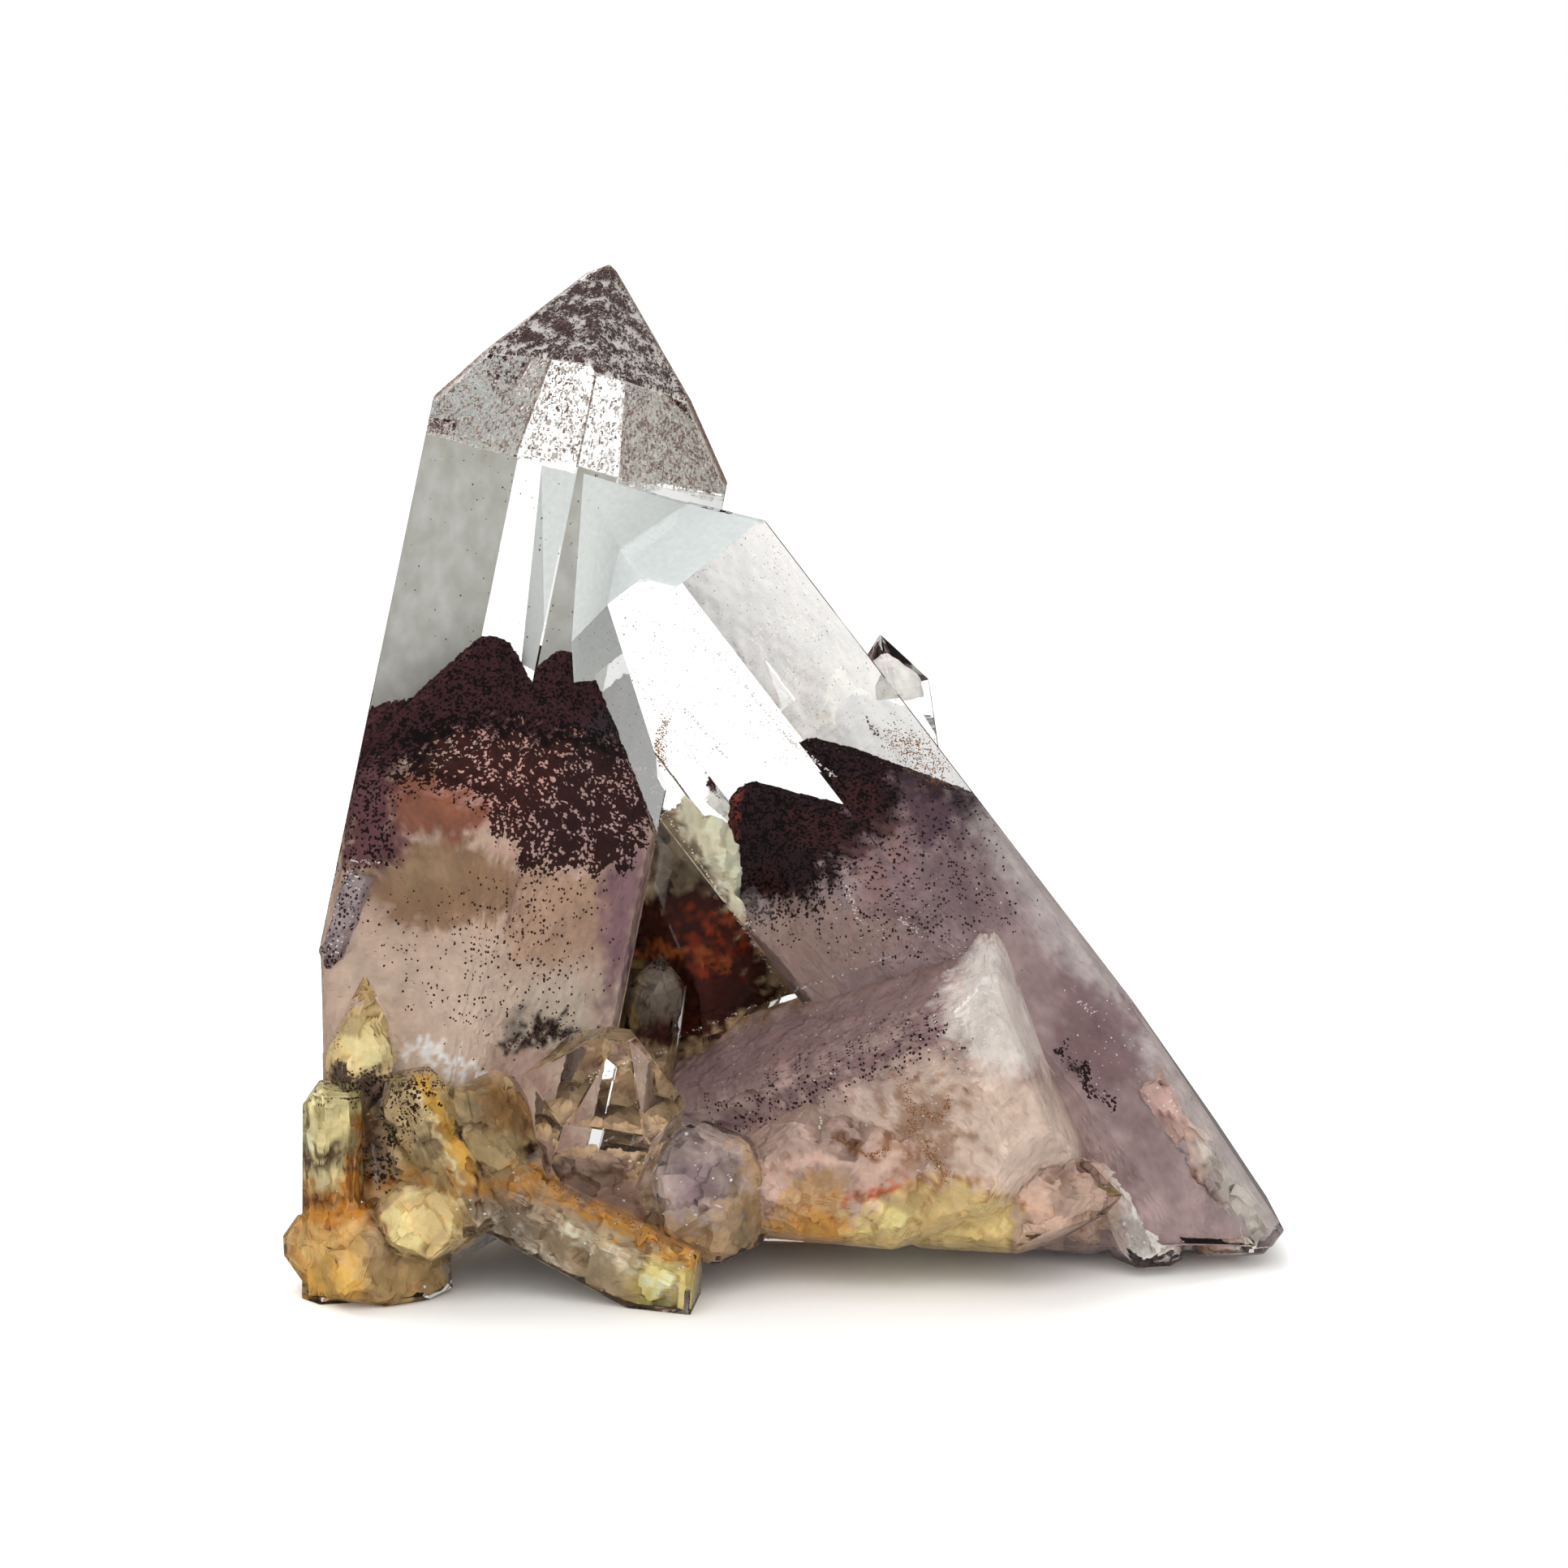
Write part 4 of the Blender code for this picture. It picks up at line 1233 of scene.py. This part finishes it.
RIGHT_ZONES = (
    # The gap line is painted shadow, in the gap between the lying crystal's end and the leaning crystal.
    Zone("gap", "line", "#6c5056", 0.95, 8, 4, ((1262, 1180), (1285, 1240), (1300, 1300)), (34, 0)),
    Zone("sparkly", "area", "#c3a39c", 0.9, 14, 6, ((1345, 1345), (1440, 1330), (1455, 1420), (1350, 1425))),
    Zone("grey patch", "spot", "#8d8b91", 0.85, 10, 8, ((1440, 1440),), (24, 24)),
    Zone("maroon patch", "spot", "#6b4541", 0.9, 10, 7, ((1470, 1478),), (24, 30)),
    Zone("ochre rim", "line", "#b98442", 0.9, 6, 4, ((1440, 1526), (1535, 1522)), (14, 0)),
    Zone("toe", "area", "#e0d8d2", 0.95, 8, 3, ((1350, 1435), (1420, 1440), (1450, 1560), (1370, 1560))),
    Zone("heel", "area", "#cbc4bb", 0.95, 12, 4,
         ((1478, 1360), (1600, 1480), (1560, 1550), (1520, 1540), (1480, 1430))),
    Zone("yellow foot", "area", "#dbc28a", 0.9, 12, 7,
         ((900, 1500), (1260, 1480), (1260, 1560), (900, 1560))),
    Zone("shelf", "area", "#c9ad9c", 0.9, 12, 5, ((1246, 1465), (1365, 1430), (1390, 1560), (1250, 1560))),
    Zone("brown crack", "line", "#9a6c30", 0.9, 3, 2, ((1235, 1475), (1248, 1528)), (7, 0)),
) + tuple(zone for zone in LYING_ZONES if zone.what in (
    "ochre block", "orange foot", "yellow foot", "rust edge", "red mark", "squiggle", "rust specks"))
RIGHT_SHAPES = ("toe", "heel")
RIGHT_LUMPS = ("under_lying", "right_root", "front_shelf", "back_shelf")
right_body = cloudy_body("right_root_cloud", [NAMED[name] for name in RIGHT_SHAPES + RIGHT_LUMPS],
                         0.5, RIGHT_ZONES, "#c2a99d")

CHIP_ZONES = (
    Zone("chip foot", "spot", "#5f4a48", 0.7, 10, 6, ((404, 1182),), (18, 26)),
    Zone("chip grain", "area", DUST, 0.30, 8, 6, ((385, 1055), (455, 1055), (455, 1220), (385, 1220))),
)
chip_body = cloudy_body("chip_cloud", [NAMED["chip"]], 0.4, CHIP_ZONES, "#978a8c",
                        worn=0.5, broken=0.4)
SIDE_TOP = NAMED["side"]._replace(foot=(7.7, 4.0, 38.4))
cloudy_body("side_cloud", [SIDE_TOP], 0.9, (), "#e6e3dd", worn=0.4, broken=0.3)

# %% [markdown]
# ## Glints
# Broken quartz is full of tiny chips that flash white in the light. Here the flash is painted: white
# grains, which are painted glints, lie where the photograph shows them: on the druse, the lying crystal,
# the chip and the leaning phantom, on the sparkling patch at the right and over the iron-stained root.
# An area has two corners, in pixels, and a number of grains.

# %% Glints
ROOT_AREAS = (((756, 1390), (910, 1515), 240), ((370, 1320), (660, 1600), 150),
              ((567, 1460), (866, 1611), 90))
LYING_AREAS = (((880, 1160), (1200, 1480), 150), ((1150, 1160), (1240, 1330), 120))
FOOT_AREAS = (((1340, 1340), (1450, 1430), 150), ((1373, 1480), (1450, 1553), 50))
LEANING_AREAS = (((1010, 1085), (1240, 1180), 44), ((1290, 1205), (1411, 1355), 60))
CHIP_AREAS = (((388, 1065), (450, 1215), 60),)


def glint_material():
    """Painted glints: a white speck stands in for the spark of light off a fresh chip, sharp or frosted from
    chip to chip.
    """
    made, tree = new_material("painted glints, white specks on quartz chips")
    place = add(tree, "ShaderNodeTexCoord").outputs["Object"]
    frost = add(tree, "ShaderNodeTexNoise", {"Vector": place, "Scale": 1 / (0.3 * MM)})
    shine = add(tree, "ShaderNodeMapRange", {"Value": frost.outputs[0], "To Min": 0.15, "To Max": 0.45})
    shader = add(tree, "ShaderNodeBsdfPrincipled", {
        "Base Color": color("#f7f4f0"), "Roughness": shine.outputs[0]})
    add(tree, "ShaderNodeOutputMaterial", {"Surface": shader.outputs[0]})
    return made


GLINT = glint_material()
glitter("root_glints", left_body, ROOT_AREAS, (0.12, 0.34), GLINT, 61)
glitter("lying_glints", lying_body, LYING_AREAS, (0.10, 0.28), GLINT, 62)
glitter("foot_glints", right_body, FOOT_AREAS, (0.12, 0.32), GLINT, 63)
glitter("leaning_glints", leaning_phantom, LEANING_AREAS, (0.08, 0.20), GLINT, 64)
glitter("chip_glints", chip_body, CHIP_AREAS, (0.10, 0.26), GLINT, 65)

# %% [markdown]
# ## Loose specks
# Dark grains float in the clear quartz above the great crystal's phantom, and fine brown ones above
# the leaning crystal's. Each lies at random between two corners, in millimetres.

# %% Loose specks
great_places = places_in(crystal_planes(GREAT), (-26, -6, 43), (-8, 16, 62), count=150, seed=71, gap=0.6)
leaning_places = places_in(crystal_planes(LEANING), (-16, -4, 36), (12, 14, 54),
                           count=1400, seed=74, gap=0.5)
specks("great_specks", great_places, (0.08, 0.17), DARK_FLAKE, 73)
specks("leaning_specks", leaning_places, (0.05, 0.12), BROWN_FLAKE, 76)

# %% [markdown]
# ## Threads and scratches
# Healed cracks show as white threads, and so do the bright lines along the crystals' ridges and edges,
# which are painted highlights. Iron oxide shows as ochre threads, and manganese as near-black crust.
# They lie just under the outer faces, so a line of sight is followed to the skin and each grain is set a
# little behind it. Each thread has its name, its line in pixels, its width in pixels and its grains.

# %% Threads
Thread = namedtuple("Thread", "what line width grains")
BEHIND = 0.3
# The lines along ridges, edges and facets, the glint and the chips are painted highlights; the stub scratches
# and the lying frost are white cracks.
WHITE_CRACKS_AND_EDGE_HIGHLIGHTS = (
    Thread("leaning ridge", ((926, 853), (964, 901), (983, 920), (1028, 958)), 4, 150),
    Thread("leaning lower edge", ((817, 996), (865, 1066), (894, 1111), (925, 1159), (970, 1225)), 3, 120),
    Thread("leaning second line", ((840, 866), (897, 936)), 3, 50),
    Thread("leaning faint ridge", ((884, 802), (926, 853)), 3, 26),
    Thread("corner facet", ((745, 442), (775, 484)), 4, 44),
    Thread("stub scratches", ((725, 1329), (770, 1312), (821, 1295)), 8, 44),
    Thread("leaning glint", ((1041, 1089), (1058, 1131)), 6, 40),
    Thread("leaning chips", ((1104, 1127), (1142, 1152)), 8, 34),
    Thread("left chips", ((914, 1117), (928, 1145)), 6, 22),
    Thread("lying frost", ((1173, 1160), (1205, 1200), (1220, 1260), (1215, 1320)), 34, 150),
    Thread("pale line", ((425, 1060), (473, 1063)), 4, 24),
    Thread("lying top edge", ((830, 1280), (970, 1223), (1097, 1178)), 3, 80),
    Thread("panel edge", ((1014, 1352), (1010, 1394)), 3, 24),
    Thread("foot line", ((1329, 1234), (1348, 1250)), 6, 24),
)
OCHRE_THREADS = (
    Thread("crevice", ((822, 884), (812, 915), (818, 942)), 10, 260),
    Thread("leaning stain", ((1100, 910), (1128, 925), (1158, 958)), 34, 700),
    Thread("dendrite stem", ((1112, 1336), (1126, 1370), (1118, 1410)), 9, 120),
    Thread("dendrite branch", ((1124, 1366), (1158, 1380), (1172, 1352)), 9, 110),
    Thread("dendrite foot", ((1128, 1388), (1150, 1425), (1170, 1450)), 12, 130),
    Thread("squiggle", ((1030, 1404), (1069, 1425), (1097, 1415)), 5, 110),
    Thread("ledge ridge", ((680, 1460), (722, 1481), (773, 1505), (815, 1536)), 12, 110),
    Thread("wedge vein", ((440, 1215), (425, 1262), (412, 1298)), 10, 60),
)
DARK_THREADS = (
    Thread("small crack", ((1066, 885), (1082, 907)), 5, 26),
    Thread("stub line", ((697, 1312), (708, 1346)), 4, 40),
    Thread("speck line", ((1309, 1304), (1329, 1323), (1360, 1358)), 8, 50),
    Thread("black crust", ((653, 1284), (680, 1262), (711, 1280)), 22, 170),
    Thread("crust at its left", ((622, 1290), (650, 1280)), 10, 50),
    Thread("left crust", ((415, 1330), (512, 1328)), 20, 130),
)
skin_faces = BVHTree.FromPolygons([vert.co for vert in skin.data.vertices],
                                  [face.vertices[:] for face in skin.data.polygons])


def behind_skin(threads, seed):
    """Places just behind the skin, along threads."""
    chance = random.Random(seed)
    found = []
    for thread in threads:
        for _ in range(thread.grains):
            part = chance.uniform(0, len(thread.line) - 1)
            start = min(int(part), len(thread.line) - 2)
            pixel = [a + (part - start) * (b - a) + chance.gauss(0, thread.width / 3)
                     for a, b in zip(thread.line[start], thread.line[start + 1])]
            way = Vector(sight_lines(np.array([pixel]))[0])
            met = skin_faces.ray_cast(camera.location, way)[0]
            if met is not None:
                found.append(met / MM - SHIFT + BEHIND * way)
    return found


# Iron oxide in a crack is dull, and the eye sees ochre that turns rust brown where it is thick.
RUST = flake_material("iron oxide threads, ochre", "#b5761f", "#7d4a1c")
specks("white_cracks_and_painted_edge_highlights", behind_skin(WHITE_CRACKS_AND_EDGE_HIGHLIGHTS, 81), (0.07, 0.20), GLINT, 82)
specks("ochre_threads", behind_skin(OCHRE_THREADS, 83), (0.07, 0.16), RUST, 84)
specks("dark_threads", behind_skin(DARK_THREADS, 85), (0.10, 0.26), DARK_FLAKE, 86)
